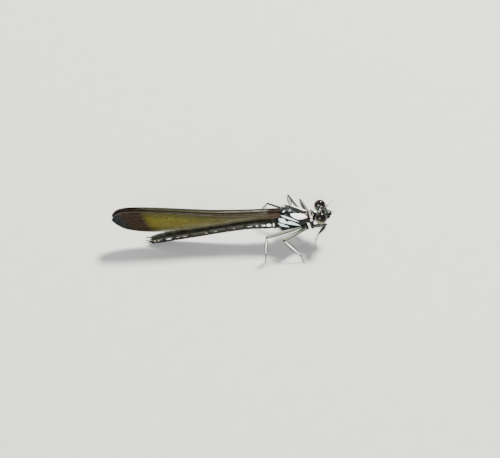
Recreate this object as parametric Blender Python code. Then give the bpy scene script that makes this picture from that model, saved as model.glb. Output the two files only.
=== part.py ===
"""A jewel damselfly at life size, standing with its wings closed over its back.

Sizes are in millimetres and are turned into metres when a node is placed. X runs towards the head,
Y towards the animal's left side and Z up from the floor. The body is laid out about a point on the
floor under the middle of the thorax, and is centred on its own box at the end.
"""

import math

import bmesh
import bpy
from mathutils import Matrix, Vector

METRES = 0.001
GAP = 0.3  # kept between neighbouring nodes

# Head: places are (x, y, z), with y for the left side
EYE_PLACE = (3.62, 1.34, 5.1)
EYE_RADII = (0.88, 0.84, 1.0)
EYE_ROOT_Y = 1.02  # flat inner face of each eye
HEAD_REAR_X = 3.12
NOSE_TIP_X = 5.3
OCELLUS_RADIUS = 0.17
ANTENNA_ROOT = (4.25, 0.52, 5.3)
ANTENNA_LINE = (0.75, 0.42, 0.5)  # the way it points
ANTENNA_SEAT_LENGTH = 0.42
ANTENNA_LENGTH = 1.35
ANTENNA_RADIUS = 0.26

# Neck and prothorax
NECK_RADIUS = 0.45
NECK_Z = 4.35
NECK_FRONT_X = HEAD_REAR_X - GAP
PROTHORAX_X = (2.0, 2.08, 2.2, 2.32, 2.46, 2.58, 2.66)
PROTHORAX_HALF_WIDTH = (0.8, 1.02, 1.08, 0.95, 1.04, 0.94, 0.62)
PROTHORAX_HALF_HEIGHT = (0.72, 0.92, 0.95, 0.84, 0.92, 0.82, 0.57)
PROTHORAX_Z = 4.23

# Winged thorax, skewed so that its back leans towards the tail
THORAX_X = (-2.3, -1.9, -1.4, -0.7, 0.0, 0.7, 1.3, 1.7)
THORAX_TOP = (5.25, 5.85, 6.08, 5.98, 5.72, 5.42, 5.15, 4.98)
THORAX_BOTTOM = (2.35, 2.1, 2.05, 2.2, 2.45, 2.8, 3.12, 3.38)
THORAX_HALF_WIDTH = (1.15, 1.45, 1.58, 1.62, 1.5, 1.3, 1.07, 0.9)
THORAX_KEEL = 0.14  # the crest along the middle of the back

# Wings: heights of the two edges over the share of the span from root to tip
WING_SHARES = (0.0, 0.1, 0.22, 0.38, 0.55, 0.7, 0.82, 0.92, 0.975, 1.0)
LEADING_EDGE = (5.45, 5.42, 5.42, 5.58, 6.0, 6.4, 6.65, 6.65, 6.2, 5.35)
TRAILING_EDGE = (4.6, 4.55, 4.15, 3.45, 2.85, 2.6, 2.75, 3.35, 4.3, 5.05)
WING_TIP_X = -26.1
WING_HALF_THICKNESS = 0.22
WING_TIP_HALF_THICKNESS = 0.12
WING_SPACE = 0.2  # kept between the raised veins of neighbouring wings
VEIN_HEIGHT = 0.045
VEIN_HALF_WIDTH = 0.09
VEIN_SHARES = (0.1, 0.2, 0.35, 0.51, 0.67, 0.83)  # of the chord at the root
VEIN_SWEEP = 0.4  # how far the veins turn towards the trailing edge
STIGMA_HEIGHT = 0.04
STIGMA_SPAN = (0.8, 0.9)
FOREWING_SOCKET_X = -2.45
HINDWING_SOCKET_X = -2.75
WING_SOCKET_RIM = 0.08
HINDWING_DROP = 0.15
HINDWING_SHORTER = 0.7
WING_STATIONS = 20

# Abdomen: the line of its middle, and its half width and half height along it
ABDOMEN_X = (-2.5, -20.5)
ABDOMEN_LINE_SHARES = (0.0, 0.117, 0.222, 0.344, 0.489, 0.583, 0.739, 0.861, 0.956, 1.0)
ABDOMEN_LINE_Z = (3.35, 3.25, 3.06, 2.75, 2.3, 1.98, 1.54, 1.14, 0.74, 0.5)
SEGMENT_SHARES = (0.042, 0.075, 0.135, 0.145, 0.148, 0.143, 0.124, 0.086, 0.062, 0.04)
ABDOMEN_SHARES = (0.0, 0.1, 0.22, 0.5, 0.78, 0.92, 1.0)
ABDOMEN_HALF_WIDTH = (0.95, 0.92, 0.78, 0.76, 0.84, 0.8, 0.6)
ABDOMEN_HALF_HEIGHT = (0.92, 0.9, 0.76, 0.7, 0.7, 0.66, 0.52)
CERCUS_LENGTH = 0.95
PARAPROCT_LENGTH = 0.5

# Legs: the coxa's root in the body, the hip it reaches, and then the knee, ankle and toe of each
# leg, with y measured outwards
HIPS = {
    "front": ((2.35, 0.45, 3.6), (2.48, 0.82, 3.05)),
    "middle": ((1.35, 0.45, 3.4), (1.72, 0.92, 2.85)),
    "hind": ((0.85, 0.55, 3.3), (1.0, 1.3, 3.4)),
}
LEG_JOINTS = {
    "front_right": ((4.45, 0.95, 3.5), (3.3, 0.6, 1.1), (2.75, 0.3, 0.14)),
    "front_left": ((0.95, 3.7, 4.1), (1.7, 4.1, 1.2), (2.2, 4.9, 0.14)),
    "middle_right": ((-1.75, 3.4, 3.0), (0.7, 4.55, 0.9), (1.3, 5.15, 0.14)),
    "middle_left": ((-0.75, 4.3, 4.5), (-0.2, 4.9, 1.2), (0.3, 5.3, 0.14)),
    "hind_right": ((-4.2, 3.75, 4.05), (-4.35, 4.5, 1.2), (-4.4, 5.0, 0.14)),
    "hind_left": ((-3.75, 3.55, 3.65), (-4.6, 4.3, 1.2), (-5.0, 4.8, 0.14)),
}
COXA_RADIUS = 0.34
HIP_RADIUS = 0.27
HIP_REACH = 0.3  # from the hip's centre to the flat that faces the thigh
FEMUR_RADIUS = 0.27
KNEE_RADIUS = 0.26
KNEE_BEND = 0.4  # radius of the rounded corner
KNEE_SPACE = 0.34  # along the middle of the leg
TIBIA_RADIUS = 0.26
TOE_RADIUS = 0.2
LEG_SIDES = 8

COLOURS = {
    "shell": ((0.012, 0.016, 0.014), 0.3, 0.1),
    "abdomen": ((0.014, 0.015, 0.012), 0.35, 0.1),
    "eye": ((0.02, 0.014, 0.01), 0.12, 0.0),
    "leg": ((0.13, 0.13, 0.1), 0.45, 0.0),
    "wing": ((0.25, 0.17, 0.03), 0.25, 0.0),
}


def smooth(stations, values, at):
    """The value at one place along a smooth curve through a few stations."""
    last = len(stations) - 1
    at = min(max(at, stations[0]), stations[last])
    i = min(max(sum(s <= at for s in stations) - 1, 0), last - 1)
    width = stations[i + 1] - stations[i]
    share = (at - stations[i]) / width

    def slope(k):
        before, after = max(k - 1, 0), min(k + 1, last)
        return (values[after] - values[before]) / (stations[after] - stations[before])

    a, b = slope(i) * width, slope(i + 1) * width
    rise = values[i + 1] - values[i]
    return values[i] + share * (a + share * (3 * rise - 2 * a - b + share * (a + b - 2 * rise)))


def new_object(name, mesh):
    made = bpy.data.objects.new(name, mesh)
    bpy.context.scene.collection.objects.link(made)
    return made


def shape(name, points, faces):
    mesh = bpy.data.meshes.new(name)
    mesh.from_pydata([tuple(p) for p in points], [], faces)
    return new_object(name, mesh)


def loft(name, rings):
    """A closed solid through rings of equal count, with flat ends."""
    count = len(rings[0])
    points = [p for ring in rings for p in ring]
    faces = []
    for r in range(len(rings) - 1):
        for k in range(count):
            a, b = r * count + k, r * count + (k + 1) % count
            faces.append((a, b, b + count, a + count))
    faces.append(tuple(reversed(range(count))))
    faces.append(tuple(range((len(rings) - 1) * count, len(points))))
    made = shape(name, points, faces)
    outwards(made)
    return made


def outwards(obj):
    edit = bmesh.new()
    edit.from_mesh(obj.data)
    bmesh.ops.recalc_face_normals(edit, faces=edit.faces)
    if edit.calc_volume(signed=True) < 0:
        bmesh.ops.reverse_faces(edit, faces=edit.faces)
    edit.to_mesh(obj.data)
    edit.free()


def oval(centre, across, up, half_width, half_height, count, fullness=1.0):
    """A ring of points; a fullness under 1 squares its corners a little."""
    ring = []
    for k in range(count):
        turn = 2 * math.pi * k / count
        c, s = math.cos(turn), math.sin(turn)
        side = math.copysign(abs(c) ** fullness, c) * half_width
        rise = math.copysign(abs(s) ** fullness, s) * half_height
        ring.append(Vector(centre) + across * side + up * rise)
    return ring


def tube(name, path, radii, sides=LEG_SIDES, flatness=1.0):
    """A round rod along a path, mitred at its bends."""
    path = [Vector(p) for p in path]
    directions = [(b - a).normalized() for a, b in zip(path, path[1:])]
    rings = []
    side = directions[0].cross(Vector((0, 0, 1)))
    if side.length < 1e-3:
        side = Vector((0, 1, 0))
    for i, point in enumerate(path):
        before, after = directions[max(i - 1, 0)], directions[min(i, len(directions) - 1)]
        along = (before + after).normalized()
        stretch = 1 / max(along.dot(after), 0.5)
        side = (side - along * side.dot(along)).normalized()
        up = along.cross(side)
        bend = (after - before) - along * (after - before).dot(along)
        ring = oval(point, side, up, radii[i], radii[i] * flatness, sides)
        if bend.length > 1e-3:
            bend.normalize()
            ring = [p + bend * (p - point).dot(bend) * (stretch - 1) for p in ring]
        rings.append(ring)
    return loft(name, rings)


def ball(name, centre, radii, segments=16, rings=10, turn=None):
    edit = bmesh.new()
    bmesh.ops.create_uvsphere(edit, u_segments=segments, v_segments=rings, radius=1)
    bmesh.ops.scale(edit, vec=radii, verts=edit.verts)
    if turn is not None:
        bmesh.ops.rotate(edit, matrix=turn, verts=edit.verts)
    bmesh.ops.translate(edit, vec=centre, verts=edit.verts)
    mesh = bpy.data.meshes.new(name)
    edit.to_mesh(mesh)
    edit.free()
    return new_object(name, mesh)


def block(name, low, high, bevel=0.0):
    edit = bmesh.new()
    bmesh.ops.create_cube(edit, size=1)
    low, high = Vector(low), Vector(high)
    bmesh.ops.scale(edit, vec=high - low, verts=edit.verts)
    bmesh.ops.translate(edit, vec=(low + high) / 2, verts=edit.verts)
    if bevel:
        bmesh.ops.bevel(edit, geom=edit.edges, offset=bevel, segments=1, affect="EDGES")
    mesh = bpy.data.meshes.new(name)
    edit.to_mesh(mesh)
    edit.free()
    return new_object(name, mesh)


def combine(base, others, operation):
    """Applies one Boolean with all the other pieces, which are then removed."""
    group = bpy.data.collections.new(base.name + "_others")
    bpy.context.scene.collection.children.link(group)
    for other in others:
        bpy.context.scene.collection.objects.unlink(other)
        group.objects.link(other)
    modifier = base.modifiers.new("combine", "BOOLEAN")
    modifier.operation = operation
    modifier.operand_type = "COLLECTION"
    modifier.collection = group
    bpy.context.view_layer.update()
    graph = bpy.context.evaluated_depsgraph_get()
    mesh = bpy.data.meshes.new_from_object(base.evaluated_get(graph))
    base.modifiers.clear()
    base.data = mesh
    for other in others:
        bpy.data.objects.remove(other)
    bpy.data.collections.remove(group)


def fuse(name, pieces, cutters=()):
    """One closed solid from overlapping pieces, less the cutters."""
    base = pieces[0]
    base.name = name
    if pieces[1:]:
        combine(base, pieces[1:], "UNION")
    if cutters:
        combine(base, list(cutters), "DIFFERENCE")
    keep_largest(base)
    return base


def keep_largest(obj):
    """Drops every loose surface but the one that holds the most."""
    edit = bmesh.new()
    edit.from_mesh(obj.data)
    bmesh.ops.remove_doubles(edit, verts=edit.verts, dist=1e-4)
    bmesh.ops.triangulate(edit, faces=edit.faces)
    unseen = set(edit.faces)
    shells = []
    while unseen:
        shell, queue = [], [unseen.pop()]
        while queue:
            face = queue.pop()
            shell.append(face)
            for edge in face.edges:
                for other in edge.link_faces:
                    if other in unseen:
                        unseen.remove(other)
                        queue.append(other)
        shells.append(shell)

    def held(shell):
        corners = [[v.co for v in face.verts] for face in shell]
        return abs(sum(a.dot(b.cross(c)) for a, b, c in corners))

    largest = max(shells, key=held)
    spare = [face for shell in shells if shell is not largest for face in shell]
    bmesh.ops.delete(edit, geom=spare, context="FACES")
    edit.to_mesh(obj.data)
    edit.free()


def rest_on_floor(obj, level=0.0):
    """Flattens whatever would reach below the floor into a small flat."""
    for vertex in obj.data.vertices:
        vertex.co.z = max(vertex.co.z, level)


def sided(place, side):
    return (place[0], place[1] * side, place[2])


def build_eye(name, side):
    eye = ball(name, sided(EYE_PLACE, side), EYE_RADII, 20, 14)
    inner = sorted((EYE_ROOT_Y * side, -2 * side))
    cutter = block("eye_cutter", (0, inner[0], 0), (9, inner[1], 9))
    return fuse(name, [eye], [cutter])


def build_head():
    pieces = [
        ball("occiput", (3.42, 0, 5.05), (0.62, 1.45, 0.9), 20, 12),
        ball("crown", (3.62, 0, 5.25), (0.72, 0.72, 0.62), 16, 10),
        ball("brow", (4.2, 0, 5.08), (0.55, 0.86, 0.55), 16, 10),
        ball("nose", (4.72, 0, 4.84), (NOSE_TIP_X - 4.72, 0.56, 0.38), 16, 10),
        ball("lip", (4.62, 0, 4.3), (0.5, 0.58, 0.26), 16, 8),
        ball("muzzle", (4.25, 0, 4.55), (0.62, 0.66, 0.5), 14, 8),
        ball("chin", (3.98, 0, 3.98), (0.7, 0.56, 0.3), 16, 8),
        ball("throat", (3.7, 0, 4.4), (0.55, 0.8, 0.55), 14, 8),
    ]
    for side in (1, -1):
        pieces.append(ball("jaw", (4.2, 0.55 * side, 4.22), (0.42, 0.3, 0.36), 12, 8))
        pieces.append(ball("hind_ocellus", (3.82, 0.3 * side, 5.8), (OCELLUS_RADIUS,) * 3, 8, 6))
        pieces.append(tube("antenna_seat", *antenna_seat(side)))
    pieces.append(ball("front_ocellus", (4.15, 0, 5.62), (OCELLUS_RADIUS,) * 3, 8, 6))
    neck = Vector((HEAD_REAR_X, 0, NECK_Z))
    neck_space = tube("neck_space", (neck - Vector((1, 0, 0)), neck), (NECK_RADIUS + GAP,) * 2, 16)
    mouth = block("mouth", (4.35, -0.75, 4.04), (5.4, 0.75, 4.14))
    cutters = [neck_space, mouth]
    for side in (1, -1):
        radii = [r + GAP for r in EYE_RADII]
        room = ball("eye_room", sided(EYE_PLACE, side), radii, 24, 16)
        kept = sorted(((EYE_ROOT_Y - GAP) * side, -2 * side))
        core = block("core", (0, kept[0], 0), (9, kept[1], 9))
        cutters.append(fuse("eye_room", [room], [core]))
    return fuse("head", pieces, cutters)


def antenna_seat(side):
    """The path and radii of the stub on the brow that carries a feeler."""
    root = Vector(sided(ANTENNA_ROOT, side))
    end = root + antenna_direction(side) * ANTENNA_SEAT_LENGTH
    return (root, end), (ANTENNA_RADIUS * 1.15, ANTENNA_RADIUS), 8


def antenna_direction(side):
    return Vector(sided(ANTENNA_LINE, side)).normalized()


def build_antenna(name, side):
    """Two stout joints and a bristle."""
    along = antenna_direction(side)
    start = antenna_seat(side)[0][1] + along * GAP
    sag = Vector((0.1, 0.15 * side, -0.1))
    path = [start + along * ANTENNA_LENGTH * t + sag * t * t for t in (0.0, 0.2, 0.25, 0.45, 0.52, 1.0)]
    radii = [ANTENNA_RADIUS * r for r in (0.95, 0.9, 0.8, 0.9, 0.55, 0.2)]
    return tube(name, path, radii)


def build_prothorax():
    rings = []
    for x, width, height in zip(PROTHORAX_X, PROTHORAX_HALF_WIDTH, PROTHORAX_HALF_HEIGHT):
        rings.append(oval((x, 0, PROTHORAX_Z), Vector((0, 1, 0)), Vector((0, 0, 1)), width, height, 20))
    start, end = Vector((PROTHORAX_X[2], 0, NECK_Z)), Vector((NECK_FRONT_X, 0, NECK_Z))
    pieces = [loft("prothorax", rings), tube("neck", (start, end), (NECK_RADIUS,) * 2, 12)]
    pieces += hips("front")
    return fuse("prothorax", pieces)


def thorax_ring(x, count=28):
    top, bottom = smooth(THORAX_X, THORAX_TOP, x), smooth(THORAX_X, THORAX_BOTTOM, x)
    width = smooth(THORAX_X, THORAX_HALF_WIDTH, x)
    centre = (x, 0, (top + bottom) / 2)
    ring = oval(centre, Vector((0, 1, 0)), Vector((0, 0, 1)), width, (top - bottom) / 2, count, 0.9)
    ring[count // 4].z += THORAX_KEEL
    return ring


def wing_socket(side, x, rank, drop):
    """The thick arm of the thorax that faces a wing's root."""
    lead, trail = LEADING_EDGE[0] - drop, TRAILING_EDGE[0] - drop
    rings = []
    for back, spread, swell in ((-1.3, 0.85, 1.6), (-0.5, 0.95, 1.15), (0, 1.0, 1.0)):
        centre = (x - back, wing_y(0, rank) * side * spread, (lead + trail) / 2)
        width = (WING_HALF_THICKNESS + WING_SOCKET_RIM) * swell
        height = ((lead - trail) / 2 + WING_SOCKET_RIM) * (1 + 0.15 * (swell - 1))
        rings.append(oval(centre, Vector((0, 1, 0)), Vector((0, 0, 1)), width, height, 12, 0.6))
    return loft("wing_socket", rings)


def build_thorax():
    stations = [THORAX_X[0] + (THORAX_X[-1] - THORAX_X[0]) * k / 12 for k in range(13)]
    pieces = [loft("thorax", [thorax_ring(x) for x in stations])]
    for side in (1, -1):
        pieces.append(wing_socket(side, FOREWING_SOCKET_X, 1.5, 0))
        pieces.append(wing_socket(side, HINDWING_SOCKET_X, 0.5, HINDWING_DROP))
    waist = abdomen_centre(0)
    across, up = abdomen_frame()
    rings = []
    for back, scale in ((1.2, 1.1), (0, 1.0)):
        centre = waist + abdomen_direction() * -back
        rings.append(oval(centre, across, up, ABDOMEN_HALF_WIDTH[0] * scale, ABDOMEN_HALF_HEIGHT[0] * scale, 20))
    pieces.append(loft("waist", rings))
    pieces += hips("middle") + hips("hind")
    return fuse("synthorax", pieces)


def leg_places(leg):
    """The coxa's root, hip, knee, ankle and toe of one leg, on its own side."""
    pair, side_name = leg.split("_")
    side = 1 if side_name == "left" else -1
    return [Vector(sided(p, side)) for p in (*HIPS[pair], *LEG_JOINTS[leg])]


def thigh_line(leg):
    _, hip, knee, _, _ = leg_places(leg)
    return (knee - hip).normalized()


def hips(pair):
    """The coxae of a pair of legs, each ending in a flat that faces its thigh."""
    pieces = []
    for leg in (f"{pair}_right", f"{pair}_left"):
        root, hip = leg_places(leg)[:2]
        pieces.append(tube("coxa", (root, hip), (COXA_RADIUS * 1.15, COXA_RADIUS * 0.9)))
        pieces.append(ball("hip", hip, (HIP_RADIUS * 1.08,) * 3, 12, 8))
        pieces.append(tube("hip_end", (hip, hip + thigh_line(leg) * HIP_REACH), (HIP_RADIUS,) * 2))
    return pieces


def knee_arcs(leg):
    """Points along the rounded knee: those of the thigh, and after a space those of the shin."""
    _, hip, knee, ankle, _ = leg_places(leg)
    into, out = (knee - hip).normalized(), (ankle - knee).normalized()
    bend = into.angle(out)
    inwards = (out - into * out.dot(into)).normalized()
    start = knee - into * KNEE_BEND * math.tan(bend / 2)
    centre = start + inwards * KNEE_BEND

    def arc(low, high):
        turns = [low + (high - low) * k / 3 for k in range(4)]
        return [centre + (into * math.sin(t) - inwards * math.cos(t)) * KNEE_BEND for t in turns]

    half_space = KNEE_SPACE / KNEE_BEND / 2
    return arc(0, bend / 2 - half_space), arc(bend / 2 + half_space, bend)


def build_femur(leg):
    hip = leg_places(leg)[1]
    start = hip + thigh_line(leg) * (HIP_REACH + GAP)
    arc = knee_arcs(leg)[0]
    path = [start] + [start.lerp(arc[0], t) for t in (0.08, 0.3, 0.85)] + arc
    radii = [HIP_RADIUS * 0.8, HIP_RADIUS * 0.9, FEMUR_RADIUS, KNEE_RADIUS * 1.02]
    radii += [KNEE_RADIUS * 1.05, KNEE_RADIUS * 1.08, KNEE_RADIUS, KNEE_RADIUS * 0.95]
    return tube(f"leg_{leg}_femur", path, radii)


def build_tibia(leg):
    arc = knee_arcs(leg)[1]
    ankle, toe = leg_places(leg)[3:]
    path = arc + [arc[-1].lerp(ankle, t) for t in (0.5, 0.94)] + [ankle]
    radii = [KNEE_RADIUS * 0.95, KNEE_RADIUS, KNEE_RADIUS * 1.02, KNEE_RADIUS]
    radii += [TIBIA_RADIUS * 0.96, TIBIA_RADIUS, TIBIA_RADIUS * 0.85]
    ahead = Vector((toe.x - ankle.x, toe.y - ankle.y, 0)).normalized()
    heel = toe - ahead * 0.45
    path += [ankle.lerp(heel, 0.5), heel, toe - ahead * 0.15, toe]
    radii += [TOE_RADIUS * 1.05, TOE_RADIUS * 1.1, TOE_RADIUS, TOE_RADIUS * 0.6]
    tibia = tube(f"leg_{leg}_tibia", path, radii)
    rest_on_floor(tibia)
    return tibia


def abdomen_centre(share):
    start, end = ABDOMEN_X
    return Vector((start + (end - start) * share, 0, smooth(ABDOMEN_LINE_SHARES, ABDOMEN_LINE_Z, share)))


def abdomen_direction():
    return (abdomen_centre(0.1) - abdomen_centre(0)).normalized()


def abdomen_frame():
    across = Vector((0, 1, 0))
    return across, abdomen_direction().cross(across)


def build_segment(number, start, end):
    """One ring of the abdomen, narrowest in front and flared at its hind rim."""
    length = (abdomen_centre(1) - abdomen_centre(0)).length
    start += GAP / length
    across = Vector((0, 1, 0))
    rings = []
    for share, swell in ((0.0, 0.9), (0.07, 0.97), (0.35, 0.97), (0.8, 1.0), (0.95, 1.05), (1.0, 0.98)):
        at = start + (end - start) * share
        along = (abdomen_centre(at + 0.01) - abdomen_centre(at - 0.01)).normalized()
        width = smooth(ABDOMEN_SHARES, ABDOMEN_HALF_WIDTH, at) * swell
        height = smooth(ABDOMEN_SHARES, ABDOMEN_HALF_HEIGHT, at) * swell
        rings.append(oval(abdomen_centre(at), across, along.cross(across), width, height, 18))
    return loft(f"abdomen_{number}", rings)


def build_tail_end(segment):
    """Joins the four claspers to the last ring."""
    pieces = [segment]
    root = abdomen_centre(1) + Vector((0.3, 0, 0))
    for side in (1, -1):
        start = root + Vector((0, 0.3 * side, 0.12))
        end = start + Vector((-CERCUS_LENGTH - 0.3, -0.02 * side, 0.1))
        middle = start.lerp(end, 0.6) + Vector((0, 0.1 * side, 0.06))
        pieces.append(tube("cercus", (start, middle, end), (0.22, 0.2, 0.1)))
        start = root + Vector((0, 0.27 * side, -0.2))
        end = start + Vector((-PARAPROCT_LENGTH - 0.3, 0, 0.06))
        pieces.append(tube("paraproct", (start, end), (0.19, 0.12)))
    joined = fuse(segment.name, pieces)
    rest_on_floor(joined)
    return joined


def wing_half_thickness(share):
    return WING_HALF_THICKNESS + (WING_TIP_HALF_THICKNESS - WING_HALF_THICKNESS) * share**2


def wing_vein_height(share):
    return VEIN_HEIGHT * (1 - 0.5 * share)


def wing_y(share, rank):
    """Half a rank from the middle of the body for a hindwing, and one and a half for a forewing."""
    return rank * (2 * (wing_half_thickness(share) + wing_vein_height(share)) + WING_SPACE)


def wing_columns(share, chord):
    """Places across the chord with the height of each, three to a vein and two along each edge."""
    half = min(0.035, VEIN_HALF_WIDTH / chord)
    columns = [(0, 1), (half * 1.5, 0)]
    for root_share in VEIN_SHARES:
        middle = root_share ** (1 - VEIN_SWEEP * share)
        columns += [(middle - half, 0), (middle, 1), (middle + half, 0)]
    return columns + [(1 - half * 0.8, 0), (1, 1)]


def build_wing(name, side, rank, root_x, tip_x, drop):
    """A blade with its veins raised on both faces, which have the same triangles."""
    shares = [math.sin(math.pi / 2 * k / (WING_STATIONS - 1)) * 0.998 for k in range(WING_STATIONS)]
    points = {1: [], -1: []}
    for share in shares:
        x = root_x + (tip_x - root_x) * share
        lead = smooth(WING_SHARES, LEADING_EDGE, share) - drop
        trail = smooth(WING_SHARES, TRAILING_EDGE, share) - drop
        y = wing_y(share, rank) * side
        for chord, crest in wing_columns(share, lead - trail):
            half = wing_half_thickness(share) + wing_vein_height(share) * crest
            if chord in (0, 1):
                half *= 0.8
            if STIGMA_SPAN[0] < share < STIGMA_SPAN[1] and 0 < chord < 0.3:
                half += STIGMA_HEIGHT
            for face in (1, -1):
                points[face].append(Vector((x, y + half * face, lead + (trail - lead) * chord)))
    length = len(shares)
    width = len(points[1]) // length
    back = width * length
    faces = []
    for i in range(length - 1):
        for j in range(width - 1):
            a, b = i * width + j, (i + 1) * width + j
            faces += [(a, b, b + 1), (a, b + 1, a + 1)]
            faces += [(a + back, b + back + 1, b + back), (a + back, a + back + 1, b + back + 1)]
    rim = [i * width for i in range(length)]
    rim += [(length - 1) * width + j for j in range(1, width)]
    rim += [i * width + width - 1 for i in reversed(range(length - 1))]
    rim += [j for j in reversed(range(1, width - 1))]
    for a, b in zip(rim, rim[1:] + rim[:1]):
        faces += [(a, b + back, b), (a, a + back, b + back)]
    wing = shape(name, points[1] + points[-1], faces)
    outwards(wing)
    return wing


def build_wings():
    made = []
    for side_name, side in (("left", 1), ("right", -1)):
        root = FOREWING_SOCKET_X - GAP
        made.append(build_wing(f"wing_fore_{side_name}", side, 1.5, root, WING_TIP_X, 0))
        root, tip = HINDWING_SOCKET_X - GAP, WING_TIP_X + HINDWING_SHORTER
        made.append(build_wing(f"wing_hind_{side_name}", side, 0.5, root, tip, HINDWING_DROP))
    return made


def material(name):
    colour, roughness, metallic = COLOURS[name]
    made = bpy.data.materials.new(name)
    made.use_nodes = True
    shader = made.node_tree.nodes["Principled BSDF"]
    shader.inputs["Base Color"].default_value = (*colour, 1)
    shader.inputs["Roughness"].default_value = roughness
    shader.inputs["Metallic"].default_value = metallic
    return made


def place(nodes, carrier):
    """Centres the model over its own box, in metres, with each origin in the middle of its node."""
    corners = [v.co for node, _ in nodes for v in node.data.vertices]
    middle = [(min(c[axis] for c in corners) + max(c[axis] for c in corners)) / 2 for axis in range(2)]
    centre = Vector((*middle, 0))
    finishes = {name: material(name) for name in COLOURS}
    for node, finish in nodes:
        own = [v.co for v in node.data.vertices]
        root = sum(own, Vector()) / len(own)
        node.data.transform(Matrix.Translation(-root))
        node.data.transform(Matrix.Scale(METRES, 4))
        node.location = (root - centre) * METRES
        node.data.materials.clear()
        node.data.materials.append(finishes[finish])
        node.data.shade_smooth()
        node.data.set_sharp_from_angle(angle=math.radians(50))
        node.parent = carrier


def build():
    for obj in list(bpy.data.objects):
        bpy.data.objects.remove(obj)
    nodes = [(build_head(), "shell"), (build_prothorax(), "shell"), (build_thorax(), "shell")]
    for side_name, side in (("left", 1), ("right", -1)):
        nodes.append((build_eye(f"eye_{side_name}", side), "eye"))
        nodes.append((build_antenna(f"antenna_{side_name}", side), "leg"))
    start = 0.0
    for k, share in enumerate(SEGMENT_SHARES):
        segment = build_segment(k + 1, start, start + share)
        start += share
        if k == len(SEGMENT_SHARES) - 1:
            segment = build_tail_end(segment)
        nodes.append((segment, "abdomen"))
    for leg in LEG_JOINTS:
        nodes += [(build_femur(leg), "leg"), (build_tibia(leg), "leg")]
    nodes += [(wing, "wing") for wing in build_wings()]
    carrier = bpy.data.objects.new("damselfly", None)
    bpy.context.scene.collection.objects.link(carrier)
    place(nodes, carrier)


build()
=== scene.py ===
"""A jewel damselfly at life size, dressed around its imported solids.

Lengths in the code are in millimetres in the body's own frame: X to the head, Y to the animal's left and
Z up, from a point on the floor under the thorax. A finished mesh is turned into metres in the row's frame.
Only sizes that a user would change are held in metres, as the panel shows them.
"""

import math

import bpy
import numpy as np
from bpy.props import FloatProperty, FloatVectorProperty, IntProperty, PointerProperty
from mathutils import Matrix, Vector


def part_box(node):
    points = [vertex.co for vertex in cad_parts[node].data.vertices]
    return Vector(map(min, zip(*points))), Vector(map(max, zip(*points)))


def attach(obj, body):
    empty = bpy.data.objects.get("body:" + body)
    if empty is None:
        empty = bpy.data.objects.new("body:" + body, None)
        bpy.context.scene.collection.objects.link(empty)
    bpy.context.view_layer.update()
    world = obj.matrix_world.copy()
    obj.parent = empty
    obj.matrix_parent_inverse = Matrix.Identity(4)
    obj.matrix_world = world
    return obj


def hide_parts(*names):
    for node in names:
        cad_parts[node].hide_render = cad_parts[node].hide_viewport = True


bl_info = {
    "name": "Jewel damselfly",
    "version": (1, 0, 0),
    "blender": (4, 5, 0),
    "location": "3D View > Sidebar > Damselfly",
    "description": "Builds the render meshes of a jewel damselfly around its packed solids",
    "category": "Add Mesh",
}

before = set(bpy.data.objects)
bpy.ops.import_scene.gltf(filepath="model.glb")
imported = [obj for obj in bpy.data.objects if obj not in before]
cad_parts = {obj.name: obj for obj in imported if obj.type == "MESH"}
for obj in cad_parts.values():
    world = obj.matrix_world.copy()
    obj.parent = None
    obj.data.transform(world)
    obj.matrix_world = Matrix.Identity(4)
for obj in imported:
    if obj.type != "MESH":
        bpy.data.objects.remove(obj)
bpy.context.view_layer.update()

# Places that the solids share, in millimetres, with y for either side
EYE_PLACE = (3.62, 1.34, 5.1)
LENS_PLACE = (3.62, 1.27, 5.1)
LENS_RADII = (0.85, 0.81, 0.93)
HEAD_REAR_X = 3.12
ANTENNA_ROOT = (4.25, 0.52, 5.3)
ANTENNA_LINE = (0.75, 0.42, 0.5)
THORAX_X = (-2.3, -1.9, -1.4, -0.7, 0.0, 0.7, 1.3, 1.7)
THORAX_TOP = (5.22, 5.83, 6.06, 5.96, 5.7, 5.4, 5.13, 4.96)
THORAX_BOTTOM = (2.38, 2.13, 2.08, 2.23, 2.48, 2.83, 3.15, 3.41)
THORAX_HALF_WIDTH = (1.14, 1.44, 1.57, 1.61, 1.49, 1.29, 1.06, 0.9)
PROTHORAX_X = (1.9, 2.08, 2.2, 2.32, 2.46, 2.58, 2.66)
PROTHORAX_HALF_WIDTH = (0.82, 1.0, 1.06, 0.93, 1.02, 0.92, 0.6)
PROTHORAX_HALF_HEIGHT = (0.72, 0.9, 0.93, 0.82, 0.9, 0.8, 0.55)
PROTHORAX_Z = 4.23
HIPS = {
    "front": ((2.35, 0.45, 3.6), (2.48, 0.82, 3.05)),
    "middle": ((1.35, 0.45, 3.4), (1.7, 0.88, 2.92)),
    "hind": ((0.85, 0.55, 3.3), (1.0, 1.2, 3.48)),
}
LEG_JOINTS = {
    "front_right": ((4.45, 0.95, 3.5), (3.3, 0.6, 1.1), (2.75, 0.3, 0.14)),
    "front_left": ((0.95, 3.7, 4.1), (1.7, 4.1, 1.2), (2.2, 4.9, 0.14)),
    "middle_right": ((-1.75, 3.4, 3.0), (0.7, 4.55, 0.9), (1.3, 5.15, 0.14)),
    "middle_left": ((-0.75, 4.3, 4.5), (-0.2, 4.9, 1.2), (0.3, 5.3, 0.14)),
    "hind_right": ((-4.2, 3.75, 4.05), (-4.35, 4.5, 1.2), (-4.4, 5.0, 0.14)),
    "hind_left": ((-3.75, 3.55, 3.65), (-4.6, 4.3, 1.2), (-5.0, 4.8, 0.14)),
}
ABDOMEN_X = (-2.5, -20.5)
ABDOMEN_LENGTH = 18.13
ABDOMEN_LINE_SHARES = (0.0, 0.117, 0.222, 0.344, 0.489, 0.583, 0.739, 0.861, 0.956, 1.0)
ABDOMEN_LINE_Z = (3.35, 3.25, 3.06, 2.75, 2.3, 1.98, 1.54, 1.14, 0.74, 0.5)
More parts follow.
